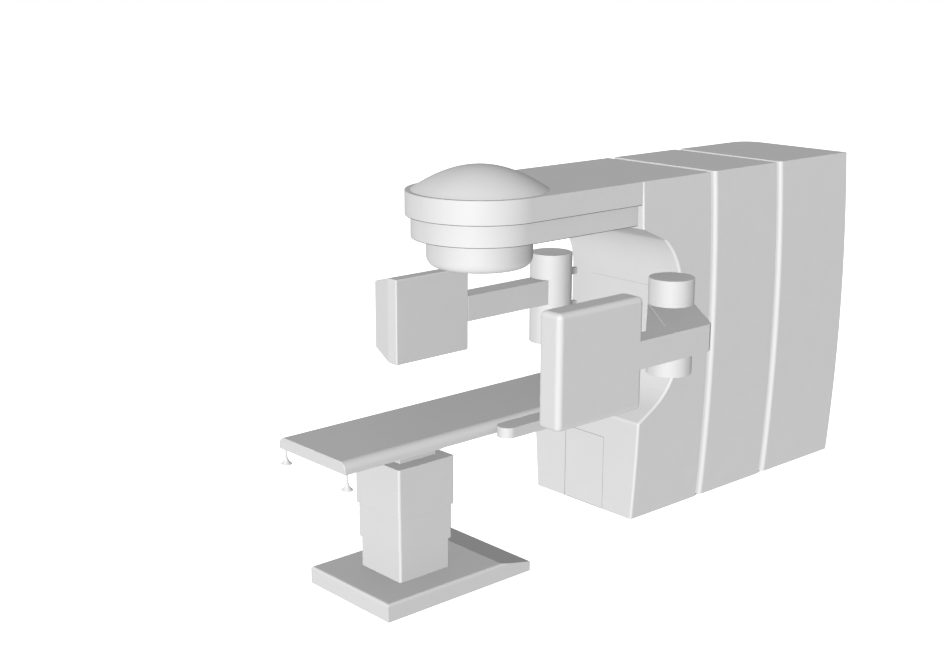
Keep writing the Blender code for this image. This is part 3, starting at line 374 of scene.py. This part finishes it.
def add(tree, kind, inputs=(), **settings):
    """Adds a node with its settings. An input is a value, or the socket that feeds it."""
    node = tree.nodes.new(kind)
    for key, value in settings.items():
        setattr(node, key, value)
    for key, value in dict(inputs).items():
        if isinstance(value, bpy.types.NodeSocket):
            tree.links.new(value, node.inputs[key])
        else:
            node.inputs[key].default_value = value
    return node


def per_metre(millimetres):
    """Scale of a pattern whose features are this many millimetres apart."""
    return 1000 / millimetres


def surface(name, colour, shade, roughness, metallic=0.0, coat=0.0, grain_mm=3.0, grain_depth=0.00006,
            stretch=(1, 1, 1), patch_mm=220.0, polish=0.08):
    """A coated or bare surface: broad faint patches in its tone, and a fine grain that breaks the gloss."""
    material = bpy.data.materials.new(name)
    material.use_nodes = True
    tree = material.node_tree
    shader = tree.nodes["Principled BSDF"]
    shader.inputs["Metallic"].default_value = metallic
    shader.inputs["Coat Weight"].default_value = coat
    shader.inputs["Coat Roughness"].default_value = COAT_ROUGHNESS
    place = add(tree, "ShaderNodeTexCoord").outputs["Object"]
    drawn = add(tree, "ShaderNodeMapping", {"Vector": place, "Scale": stretch}).outputs["Vector"]
    patches = add(tree, "ShaderNodeTexNoise", {"Vector": place, "Scale": per_metre(patch_mm),
                                               "Detail": 3.0}).outputs["Fac"]
    grain = add(tree, "ShaderNodeTexNoise", {"Vector": drawn, "Scale": per_metre(grain_mm),
                                             "Detail": 2.0}).outputs["Fac"]
    tone = add(tree, "ShaderNodeMix", {0: patches, 6: hex_colour(colour), 7: hex_colour(shade)},
               data_type="RGBA")
    gloss = add(tree, "ShaderNodeMapRange", {"Value": patches,
                                             "From Min": PATCH_REACH[0], "From Max": PATCH_REACH[1],
                                             "To Min": roughness - polish, "To Max": roughness + polish})
    bump = add(tree, "ShaderNodeBump", {"Height": grain, "Distance": grain_depth,
                                        "Strength": GRAIN_STRENGTH})
    tree.links.new(tone.outputs[2], shader.inputs["Base Color"])
    tree.links.new(gloss.outputs["Result"], shader.inputs["Roughness"])
    tree.links.new(bump.outputs["Normal"], shader.inputs["Normal"])
    return material


def make_materials():
    """All finishes by their short names."""
    return {
        # Sprayed glass-fibre moulding: satin, with a faint orange peel from the gun
        "moulding": surface("sprayed_glass_fibre_moulding", "#c9c9c9", "#c3c3c3", 0.52, grain_mm=4.0),
        # Sprayed aluminium casting: the same paint over a slightly coarser skin
        "casting": surface("sprayed_aluminium_casting", "#c9c9c9", "#c2c2c2", 0.50, grain_mm=2.5,
                           grain_depth=0.00008),
        # Powder-coated sheet steel: even, with the fine pebble of baked powder
        "powder": surface("powder_coated_sheet_steel", "#c8c8c8", "#c2c2c2", 0.55, grain_mm=2.0,
                          grain_depth=0.00005),
        # Lacquered carbon laminate: a flat, slightly glossier skin
        "laminate": surface("lacquered_carbon_laminate", "#c8c8c8", "#c3c3c3", 0.48, grain_mm=6.0,
                            grain_depth=0.00003, coat=0.05),
        # Painted steel weldment: duller grey with rougher paint
        "weldment": surface("painted_steel_weldment", "#9a9b9d", "#8f9092", 0.6, grain_mm=5.0,
                            grain_depth=0.0001),
        # Milled steel: bare metal with fine cutter lines along one way
        "milled": surface("milled_steel", "#b9bbbe", "#a9abae", 0.34, metallic=1.0, grain_mm=1.5,
                          stretch=(1, 1, 12), grain_depth=0.00003),
        # Blackened steel: dark oxide with a low sheen
        "blackened": surface("blackened_steel", "#4c4e51", "#3f4144", 0.45, metallic=0.8, grain_mm=3.0),
        # Brazed copper: warm bare metal, dulled in patches by heat
        "copper": surface("brazed_copper", "#c98a63", "#a96a4a", 0.32, metallic=1.0, patch_mm=60.0),
        # Sand-cast iron under thin paint: pebbled
        "iron": surface("sand_cast_iron", "#55575a", "#4a4c4f", 0.65, grain_mm=6.0, grain_depth=0.0003),
        # Sintered tungsten alloy: dense dull grey metal
        "tungsten": surface("sintered_tungsten_alloy", "#7d7d7f", "#6f6f72", 0.42, metallic=1.0,
                            grain_mm=2.0),
        # Moulded ABS: light and slightly spark-eroded
        "abs": surface("moulded_abs", "#cfcfce", "#c9c9c8", 0.5, grain_mm=1.5, grain_depth=0.00004),
        # Dark, dull seal strips: painted shade standing in for the shadow in the joints and under the arm
        # layers, as the lamps throw no shadows
        "gap_shade": surface("dark_seal_painted_shade", "#6a6a6a", "#626262", 0.75, grain_mm=3.0),
        # Moulded polycarbonate, smoked: dark and smooth
        "smoked": surface("smoked_polycarbonate", "#37393c", "#303235", 0.25, grain_mm=8.0,
                          grain_depth=0.00002, polish=0.03),
    }


NODE_FINISHES = {
    "weldment": ("stand_plinth", "stand_frame", "gantry_frame", "modulator_cabinet"),
    "milled": ("bearing_inner_ring", "gantry_ring_gear", "drive_pinion", "collimator_turntable",
               "jaw_plate", "electron_gun", "xray_tube", "floor_pivot", "lift_tube", "lift_rod"),
    "blackened": ("bearing_outer_ring", "gantry_motor", "bending_magnet", "collimator_bearing",
                  "lift_cylinder"),
    "copper": ("klystron", "rf_waveguide", "accelerator_guide"),
    "iron": ("counterweight",),
    "tungsten": ("primary_collimator", "x_jaw_left", "x_jaw_right", "y_jaw_front", "y_jaw_rear"),
    "abs": ("beam_window",),
    "smoked": ("source_window", "flat_panel"),
}


# Covers of the stand and the gantry
def stand_slab(node, rear_corner=0):
    """A fixed slab with wide front corners and bowed sides. The last one also has a round rear corner."""
    low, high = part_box(node)
    mesh = block(low, high)
    if rear_corner:
        soften(mesh, edges_between(mesh, lambda place: place.x < 0 and place.y > high[1] - ON_PLANE),
               rear_corner, segments=14)
    soften(mesh, [edge for edge in edges_between(mesh, lambda place: place.y < low[1] + ON_PLANE)
                  if climb(edge) > ON_PLANE], SLAB_EDGE, segments=6)
    soften(mesh, sharp_edges(mesh), COVER_EASE)
    bow_sides(mesh, low[2], high[2])
    return mesh


def rear_stand_shell():
    """Last slab, with a pocket for the service door in its back."""
    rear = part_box("stand_rear_cover")[1][1]
    mesh = stand_slab("stand_rear_cover", REAR_CORNER_R)
    pocket(mesh, (0, 1, 0), (-DOOR_HALF, rear, DOOR_LOW), (DOOR_HALF, rear, DOOR_TOP), SEAM_DEPTH)
    return mesh


def service_door():
    """Plate that lies flush in the pocket of the last slab, with a field of vent slots."""
    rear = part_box("stand_rear_cover")[1][1]
    mesh = block((-DOOR_HALF + SEAM, rear - SEAM_DEPTH + APART, DOOR_LOW + SEAM),
                 (DOOR_HALF - SEAM, rear, DOOR_TOP - SEAM))
    soften(mesh, sharp_edges(mesh), PANEL_EASE, segments=2)
    for row in range(VENT_ROWS):
        base = DOOR_TOP - VENT_START - row * VENT_PITCH
        pocket(mesh, (0, 1, 0), (-VENT_HALF, rear, base), (VENT_HALF, rear, base + VENT_SLOT), VENT_DEPTH)
    return mesh


def recess_outline(low, high):
    """Side view of the turning slab with its C-shaped recess, drawn on the slab's left side."""
    x = low[0]
    front = RECESS_Y - RECESS_RUN
    top = RECESS_UPPER_Z + RECESS_R
    base = RECESS_LOWER_Z - RECESS_R
    mesh = flat_outline([(x, front, low[2]), (x, high[1], low[2]), (x, high[1], high[2]),
                         (x, front, high[2]), (x, front, top), (x, RECESS_WALL, top), (x, RECESS_WALL, base),
                         (x, front, base)])
    mesh.verts.ensure_lookup_table()
    round_corners(mesh, [mesh.verts[5], mesh.verts[6]], RECESS_R, segments=24)
    start, end = [RECESS_Y + RECESS_R * math.cos(math.radians(angle)) for angle in CEILING_FLAT]
    bmesh.ops.dissolve_verts(mesh, verts=[vert for vert in mesh.verts
                                          if vert.co.z > RECESS_Z and end < vert.co.y < start])
    slope = math.radians(FLOOR_SLOPE)
    foot_y = RECESS_Y + RECESS_R * math.cos(slope)
    foot_z = RECESS_LOWER_Z - RECESS_R * math.sin(slope)
    for vert in mesh.verts:
        if low[2] < vert.co.z < RECESS_Z and vert.co.y < foot_y:
            vert.co.z = foot_z - (foot_y - vert.co.y) / math.tan(slope)
    return mesh


def recess_edges(mesh, low, high):
    """Edges with a wide rounding: the recess's front lip, and the right side of the front and the recess."""
    lip = [edge for edge in edges_between(mesh, lambda place: place.y < low[1] + ON_PLANE)
           if low[2] + ON_PLANE < edge.verts[0].co.z < RECESS_Z and climb(edge) < ON_PLANE]
    # A degree below the flat ceiling, so that the ceiling's first corner counts as part of it
    ceiling = RECESS_UPPER_Z + RECESS_R * math.sin(math.radians(CEILING_FLAT[0] - 1))
    crisp = ((0, low[2] + ON_PLANE), (ceiling, RECESS_UPPER_Z + RECESS_R), (high[2] - ON_PLANE, math.inf))
    sides = [edge for edge in mesh.edges
             if any(face.normal.x > SAME_WAY for face in edge.link_faces)
             and all(vert.co.y < RECESS_WALL + ON_PLANE for vert in edge.verts)
             and not any(all(start < vert.co.z < end for vert in edge.verts) for start, end in crisp)]
    return sides + lip


def gantry_shell():
    """The turning slab with its recess, eased edges and the opening of the access panel."""
    low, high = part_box("gantry_cover")
    mesh = recess_outline(low, high)
    thicken(mesh, (high[0] - low[0], 0, 0))
    slice_at(mesh, (0, low[1], 0), (0, 1, 0), clear=True)
    soften(mesh, recess_edges(mesh, low, high), RECESS_EASE, segments=5, clamp=False)
    behind = RECESS_WALL + 2 * RECESS_EASE
    soften(mesh, [edge for edge in sharp_edges(mesh) if max(vert.co.y for vert in edge.verts) > behind],
           COVER_EASE)
    bow_sides(mesh, low[2], high[2])
    pocket(mesh, (0, -1, 0), (-ACCESS_HALF, low[1], low[2] + 2 * COVER_EASE),
           (ACCESS_HALF, low[1], ACCESS_TOP), ACCESS_DEPTH)
    return mesh


def access_cover():
    """Panel that fills the opening in the gantry's front."""
    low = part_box("gantry_cover")[0]
    mesh = block((-ACCESS_HALF + SEAM, low[1], low[2] + 2 * COVER_EASE + SEAM / 2),
                 (ACCESS_HALF - SEAM, low[1] + ACCESS_DEPTH - ACCESS_BACK, ACCESS_TOP - SEAM))
    soften(mesh, sharp_edges(mesh), PANEL_EASE, segments=2)
    return mesh


def seam_shadow_strips():
    """Thin dark strips in the panel's three joints and along the wall's moulding line: painted shade standing
    in for the shadow in these grooves.
    """
    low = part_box("gantry_cover")[0]
    front = low[1] + SEAL_SINK
    base = low[2] + 2 * COVER_EASE
    wall = RECESS_WALL - WALL_SEAM_SINK
    mesh = bmesh.new()
    for left, right, y, bottom, top in (
            (-ACCESS_HALF, -ACCESS_HALF + SEAM, front, base, ACCESS_TOP),
            (ACCESS_HALF - SEAM, ACCESS_HALF, front, base, ACCESS_TOP),
            (-ACCESS_HALF, ACCESS_HALF, front, ACCESS_TOP - SEAM, ACCESS_TOP),
            (WALL_SEAM_START, SIDE_HALF - RECESS_EASE, wall, WALL_SEAM_Z, WALL_SEAM_Z + WALL_SEAM)):
        corners = ((left, y, bottom), (right, y, bottom), (right, y, top), (left, y, top))
        mesh.faces.new([mesh.verts.new(corner) for corner in corners])
    return thicken(mesh, (0, STRIP_DEPTH, 0))


# Arm and head
def arm_slab(node, inset, base, top):
    """A slab with a round end over the head, that starts and ends at heights above the layer's underside."""
    low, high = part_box(node)
    half = high[0] - inset
    mesh = rectangle((-half, low[1] + inset, low[2] + base), (half, high[1], high[2]), "Z")
    round_corners(mesh, [vert for vert in mesh.verts if vert.co.y < 0], half - MERGE, segments=32)
    return thicken(mesh, (0, 0, top - base))


def arm_shell(node):
    """One layer of the arm, above its seal."""
    low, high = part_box(node)
    mesh = arm_slab(node, 0, SEAL_HEIGHT, high[2] - low[2])
    soften(mesh, [edge for edge in sharp_edges(mesh)
                  if min(vert.co.y for vert in edge.verts) < high[1] - ON_PLANE], ARM_EASE)
    return mesh


def arm_shadow_seal(node):
    """Dark strip under a layer of the arm: painted shade standing in for the shadow line between the layers.
    """
    return arm_slab(node, SEAL_SINK, APART, SEAL_HEIGHT)


def arm_tray(node):
    """Underside of a layer of the arm, which leaves only the rim of its seal in view."""
    return arm_slab(node, SEAL_WIDTH, 0, SEAL_HEIGHT)


def dome_shell():
    """Crown of the head, nearly a ball's cap."""
    low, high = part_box("head_dome")
    radius = high[0]
    outer = []
    for i in range(DOME_POINTS + 1):
        share = i / DOME_POINTS
        outer.append((radius * share, low[2] + max(DOME_RISE * (1 - share ** DOME_POWER), DOME_RIM)))
    return turned(outer + [(radius, low[2]), (0, low[2])], (0, 0, 0), steps=128)


def collimator_shell():
    """Round housing under the head, open above and with the beam's way out in its floor."""
    low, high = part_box("collimator_housing")
    radius = high[0]
    points = [(APERTURE_R, low[2]), (radius, low[2]), (radius, high[2]), (radius - COLLIMATOR_WALL, high[2]),
              (radius - COLLIMATOR_WALL, low[2] + SHOULDER_HEIGHT),
              (radius - SHOULDER_INSET, low[2] + COLLIMATOR_FLOOR), (APERTURE_R, low[2] + COLLIMATOR_FLOOR)]
    return turned(points, (0, 0, 0), steps=128, fillets=((1, COLLIMATOR_FILLET),))


def accessory_rim():
    """Slim ring round the beam's way out."""
    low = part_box("collimator_housing")[0]
    points = [(APERTURE_R, low[2] - APART), (APERTURE_R, low[2] - RIM_HEIGHT), (RIM_R, low[2] - RIM_HEIGHT),
              (RIM_R, low[2] - APART)]
    return turned(points, (0, 0, 0), fillets=((2, RIM_FILLET),))


# Imaging arms
def source_casing():
    """Soft-edged casing of the source, with a shallow port towards the axis."""
    low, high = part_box("source_housing")
    mesh = block(low, high)
    soften(mesh, mesh.edges[:], SOURCE_EDGE_R, segments=8)
    half = PORT_SIZE / 2
    pocket(mesh, (-1, 0, 0), (low[0], -half, ISO_Z - half), (low[0], half, ISO_Z + half), PORT_DEPTH)
    return mesh


def port_window():
    """Thin smoked plate that fills the port."""
    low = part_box("source_housing")[0]
    half = PORT_SIZE / 2 - WINDOW_GAP
    mesh = block((low[0] + WINDOW_GAP, -half, ISO_Z - half),
                 (low[0] + PORT_DEPTH - APART, half, ISO_Z + half))
    soften(mesh, sharp_edges(mesh), WINDOW_EASE, segments=2)
    return mesh


def source_elbow():
    """Elbow and bar of the source, with the bar let into the casing's round edge."""
    mesh = node_copy("source_arm")
    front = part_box("source_arm")[0][1] + NEAR_END
    soften(mesh, [edge for edge in sharp_edges(mesh) if max(vert.co.y for vert in edge.verts) > front],
           BAR_EASE, segments=2)
    for vert in mesh.verts:
        if vert.co.y < front:
            vert.co.y -= SOURCE_EDGE_R + BAR_LET_IN
    return mesh


def elbow_web():
    """Web in the elbow's inner corner, tangent to its post and a little below its top."""
    low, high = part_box("source_arm")
    mesh = flat_outline([(x, y, low[2] + WEB_SINK) for x, y in WEB_CORNERS])
    return thicken(mesh, (0, 0, high[2] - low[2] - 2 * WEB_SINK))


def detector_casing():
    """Flat-faced casing of the detector, tapered at the back."""
    low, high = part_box("detector_housing")
    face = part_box("detector_face")[1][0]
    shoulder = face - DETECTOR_SIDE
    mesh = block(low, (face, high[1], high[2]))
    slice_at(mesh, (shoulder, 0, 0), (1, 0, 0))
    for vert in mesh.verts:
        if vert.co.x < shoulder - ON_PLANE:
            vert.co.y += DETECTOR_INSET if vert.co.y < 0 else -DETECTOR_INSET
            vert.co.z += DETECTOR_INSET if vert.co.z < ISO_Z else -DETECTOR_INSET
    bmesh.ops.recalc_face_normals(mesh, faces=mesh.faces)
    soften(mesh, sharp_edges(mesh, degrees=10), DETECTOR_EASE)
    return mesh


def detector_bar():
    """Bar of the detector, with its long edges rounded and its ends left crisp."""
    mesh = node_copy("detector_arm")
    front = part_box("detector_arm")[0][1] + NEAR_END
    soften(mesh, [edge for edge in sharp_edges(mesh)
                  if abs(edge.verts[0].co.y - edge.verts[1].co.y) > LONG_EDGE
                  and min(vert.co.y for vert in edge.verts) < front], BAR_EASE, segments=2)
    return mesh


def eased_end(node, end):
    """A solid with its lower or upper rim rounded, and the joint to its neighbour left crisp."""
    mesh = node_copy(node)
    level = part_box(node)[end][2]
    soften(mesh, edges_between(mesh, lambda place: abs(place.z - level) < ON_PLANE), POST_EASE)
    return mesh


# Couch
def base_casting():
    """Base with a ramp at its rear, soft upper edges and a pocket over the floor pivot."""
    low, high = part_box("couch_base_plate")
    outline = [(low[1], 0), (high[1], 0), (high[1], RAMP_LOW), (RAMP_START, high[2]), (low[1], high[2])]
    mesh = flat_outline([(low[0], y, z) for y, z in outline])
    thicken(mesh, (high[0] - low[0], 0, 0))
    rims = [edge for edge in edges_between(mesh, lambda place: place.z > high[2] - ON_PLANE)
            if min(vert.co.y for vert in edge.verts) < low[1] + ON_PLANE]
    soften(mesh, rims, BASE_EASE, segments=6)
    pocket(mesh, (0, 0, -1), (-PIVOT_HALF, -PIVOT_HALF, 0), (PIVOT_HALF, PIVOT_HALF, 0), PIVOT_HEIGHT)
    return mesh


def couch_slab():
    """Couch top with wide roundings along its upper edges."""
    low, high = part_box("couch_top")
    mesh = rectangle(low, high, "Y")
    upper = [vert for vert in mesh.verts if vert.co.z > low[2] + NEAR_END]
    round_corners(mesh, upper, COUCH_EDGE_R, segments=10)
    thicken(mesh, (0, high[1] - low[1], 0))
    soften(mesh, sharp_edges(mesh), COUCH_EASE)
    return mesh


def arm_board():
    """Slim board with round ends beside the couch top."""
    low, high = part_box("side_arm_board")
    mesh = rectangle(low, high, "Z")
    round_corners(mesh, mesh.verts[:], BOARD_R - MERGE, segments=16)
    thicken(mesh, (0, 0, high[2] - low[2]))
    soften(mesh, sharp_edges(mesh), BOARD_EASE)
    return mesh


def release_knob(node):
    """Bell-shaped knob on its stem."""
    low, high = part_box(node)
    centre = ((low[0] + high[0]) / 2, (low[1] + high[1]) / 2, 0)
    radius = (high[0] - low[0]) / 2
    points = [(0, low[2]), (radius, low[2])]
    points += [(radius * share, low[2] + height) for share, height in KNOB_BELL]
    points += [(KNOB_STEM_R, low[2] + KNOB_NECK), (KNOB_STEM_R, high[2]), (0, high[2])]
    return turned(points, centre, steps=48, fillets=((1, KNOB_EASE), (2, KNOB_EASE)))


def eased(node, width):
    """A solid with its sharp edges rounded a little."""
    mesh = node_copy(node)
    soften(mesh, sharp_edges(mesh), width)
    return mesh


# Pieces with their finishes
def dress_gantry(moulding, powder, gap_shade):
    """Slabs, panels, arm layers, dome and collimator."""
    piece("front_stand_shell", stand_slab("stand_front_cover"), moulding, "stand_front_cover")
    piece("rear_stand_shell", rear_stand_shell(), moulding, "stand_rear_cover")
    piece("service_door", service_door(), powder, body="stand")
    piece("gantry_shell", gantry_shell(), moulding, "gantry_cover")
    piece("access_cover", access_cover(), moulding, "access_panel")
    # Dark strips in the panel joints and along the wall's moulding line: painted shade for the shadow in
    # these grooves
    piece("seam_shadow_strips", seam_shadow_strips(), gap_shade, body="gantry")
    for layer in ("upper", "lower"):
        node = f"arm_{layer}_cover"
        piece(f"{layer}_arm_shell", arm_shell(node), moulding, node)
        # Dark strip under each arm layer: painted shade for the shadow line between the layers
        piece(f"{layer}_arm_shadow_seal", arm_shadow_seal(node), gap_shade, body="gantry")
        piece(f"{layer}_arm_tray", arm_tray(node), moulding, body="gantry")
    piece("dome_shell", dome_shell(), moulding, "head_dome")
    piece("collimator_shell", collimator_shell(), moulding, "collimator_housing")


def dress_imagers(moulding, casting, smoked):
    """Both imaging arms with their posts."""
    piece("source_casing", source_casing(), moulding, "source_housing")
    piece("port_window", port_window(), smoked, "source_window")
    piece("detector_casing", detector_casing(), moulding, "detector_housing", "detector_face")
    for side in ("left", "right"):
        piece(f"{side}_post", eased_end(f"{side}_arm_post", 0), casting, f"{side}_arm_post")
        piece(f"{side}_cap", eased_end(f"{side}_arm_cap", 1), casting, f"{side}_arm_cap")
    piece("source_elbow", source_elbow(), casting, "source_arm")
    piece("elbow_web", elbow_web(), casting, body="source_arm")
    piece("detector_bar", detector_bar(), casting, "detector_arm")


def dress_couch(laminate, plastic, powder):
    """Couch top, knobs, pedestal and base."""
    piece("couch_slab", couch_slab(), laminate, "couch_top")
    piece("arm_board", arm_board(), laminate, "side_arm_board")
    for side in ("left", "right"):
        node = f"{side}_release_knob"
        piece(f"{side}_knob", release_knob(node), plastic, node)
    piece("base_casting", base_casting(), powder, "couch_base_plate",
          crease=lambda place: -ON_PLANE < place.y - RAMP_START < 2 * BASE_EASE)
    for name, node, width in COUCH_PARTS:
        piece(name, eased(node, width), powder, node)


def dress(finishes):
    """Puts every piece in place, and gives the inner solids their finishes."""
    dress_gantry(finishes["moulding"], finishes["powder"], finishes["gap_shade"])
    piece("accessory_rim", accessory_rim(), finishes["milled"], body="collimator")
    dress_imagers(finishes["moulding"], finishes["casting"], finishes["smoked"])
    dress_couch(finishes["laminate"], finishes["abs"], finishes["powder"])
    for finish, nodes in NODE_FINISHES.items():
        for node in nodes:
            slots = frame["nodes"][node].data.materials
            slots.clear()
            slots.append(finishes[finish])


# Setting
def add_camera():
    """Camera at the place and angle that the photo was taken from."""
    camera = bpy.data.objects.new("photo_camera", bpy.data.cameras.new("photo_camera"))
    camera.data.lens = CAMERA_LENS
    camera.data.sensor_width = CAMERA_SENSOR
    pitch, roll, heading = [math.radians(value) for value in CAMERA_TURN]
    turn = Matrix.Rotation(heading, 4, "Z") @ Matrix.Rotation(pitch, 4, "X") @ Matrix.Rotation(roll, 4, "Z")
    camera.matrix_world = Matrix.Translation(CAMERA_PLACE) @ turn
    bpy.context.scene.collection.objects.link(camera)
    bpy.context.scene.camera = camera


def add_lamps():
    """Distant lamps whose light neither bounces on nor throws shadows. Only the key gives highlights."""
    for name, towards, strength in LAMPS:
        lamp = bpy.data.lights.new(name, "SUN")
        lamp.energy = strength
        lamp.angle = math.radians(LAMP_SOFTNESS)
        lamp.use_shadow = False
        lamp.cycles.max_bounces = 0
        obj = bpy.data.objects.new(name, lamp)
        obj.visible_glossy = name == "key_lamp"
        obj.rotation_euler = Vector(towards).to_track_quat("Z", "Y").to_euler()
        bpy.context.scene.collection.objects.link(obj)


def add_floor():
    """A wide pale floor that shows to the camera and doesn't light the machine from below."""
    mesh = bmesh.new()
    bmesh.ops.create_grid(mesh, x_segments=1, y_segments=1, size=FLOOR_SIZE)
    bmesh.ops.translate(mesh, verts=mesh.verts, vec=(0, 0, -FLOOR_DROP))
    data = bpy.data.meshes.new("studio_floor")
    mesh.to_mesh(data)
    mesh.free()
    floor = bpy.data.objects.new("studio_floor", data)
    bpy.context.scene.collection.objects.link(floor)
    material = bpy.data.materials.new("pale_studio_floor")
    material.use_nodes = True
    shader = material.node_tree.nodes["Principled BSDF"]
    shader.inputs["Base Color"].default_value = hex_colour("#f4f4f4")
    shader.inputs["Roughness"].default_value = 0.9
    shader.inputs["Emission Color"].default_value = hex_colour("#ffffff")
    shader.inputs["Emission Strength"].default_value = 1.0
    data.materials.append(material)
    floor.visible_diffuse = False
    floor.visible_glossy = False


def add_surround():
    """A dim even surround that is white only to the camera."""
    world = bpy.data.worlds.new("studio")
    world.use_nodes = True
    tree = world.node_tree
    dim = tree.nodes["Background"]
    dim.inputs["Color"].default_value = hex_colour("#ffffff")
    dim.inputs["Strength"].default_value = SURROUND
    white = add(tree, "ShaderNodeBackground", {"Color": hex_colour("#ffffff"), "Strength": 1.0})
    ray = add(tree, "ShaderNodeLightPath")
    mix = add(tree, "ShaderNodeMixShader", {0: ray.outputs["Is Camera Ray"], 1: dim.outputs[0],
                                            2: white.outputs[0]})
    tree.links.new(mix.outputs[0], tree.nodes["World Output"].inputs["Surface"])
    bpy.context.scene.world = world


bpy.context.scene.view_settings.view_transform = "Standard"
add_camera()
dress(make_materials())
add_floor()
add_lamps()
add_surround()
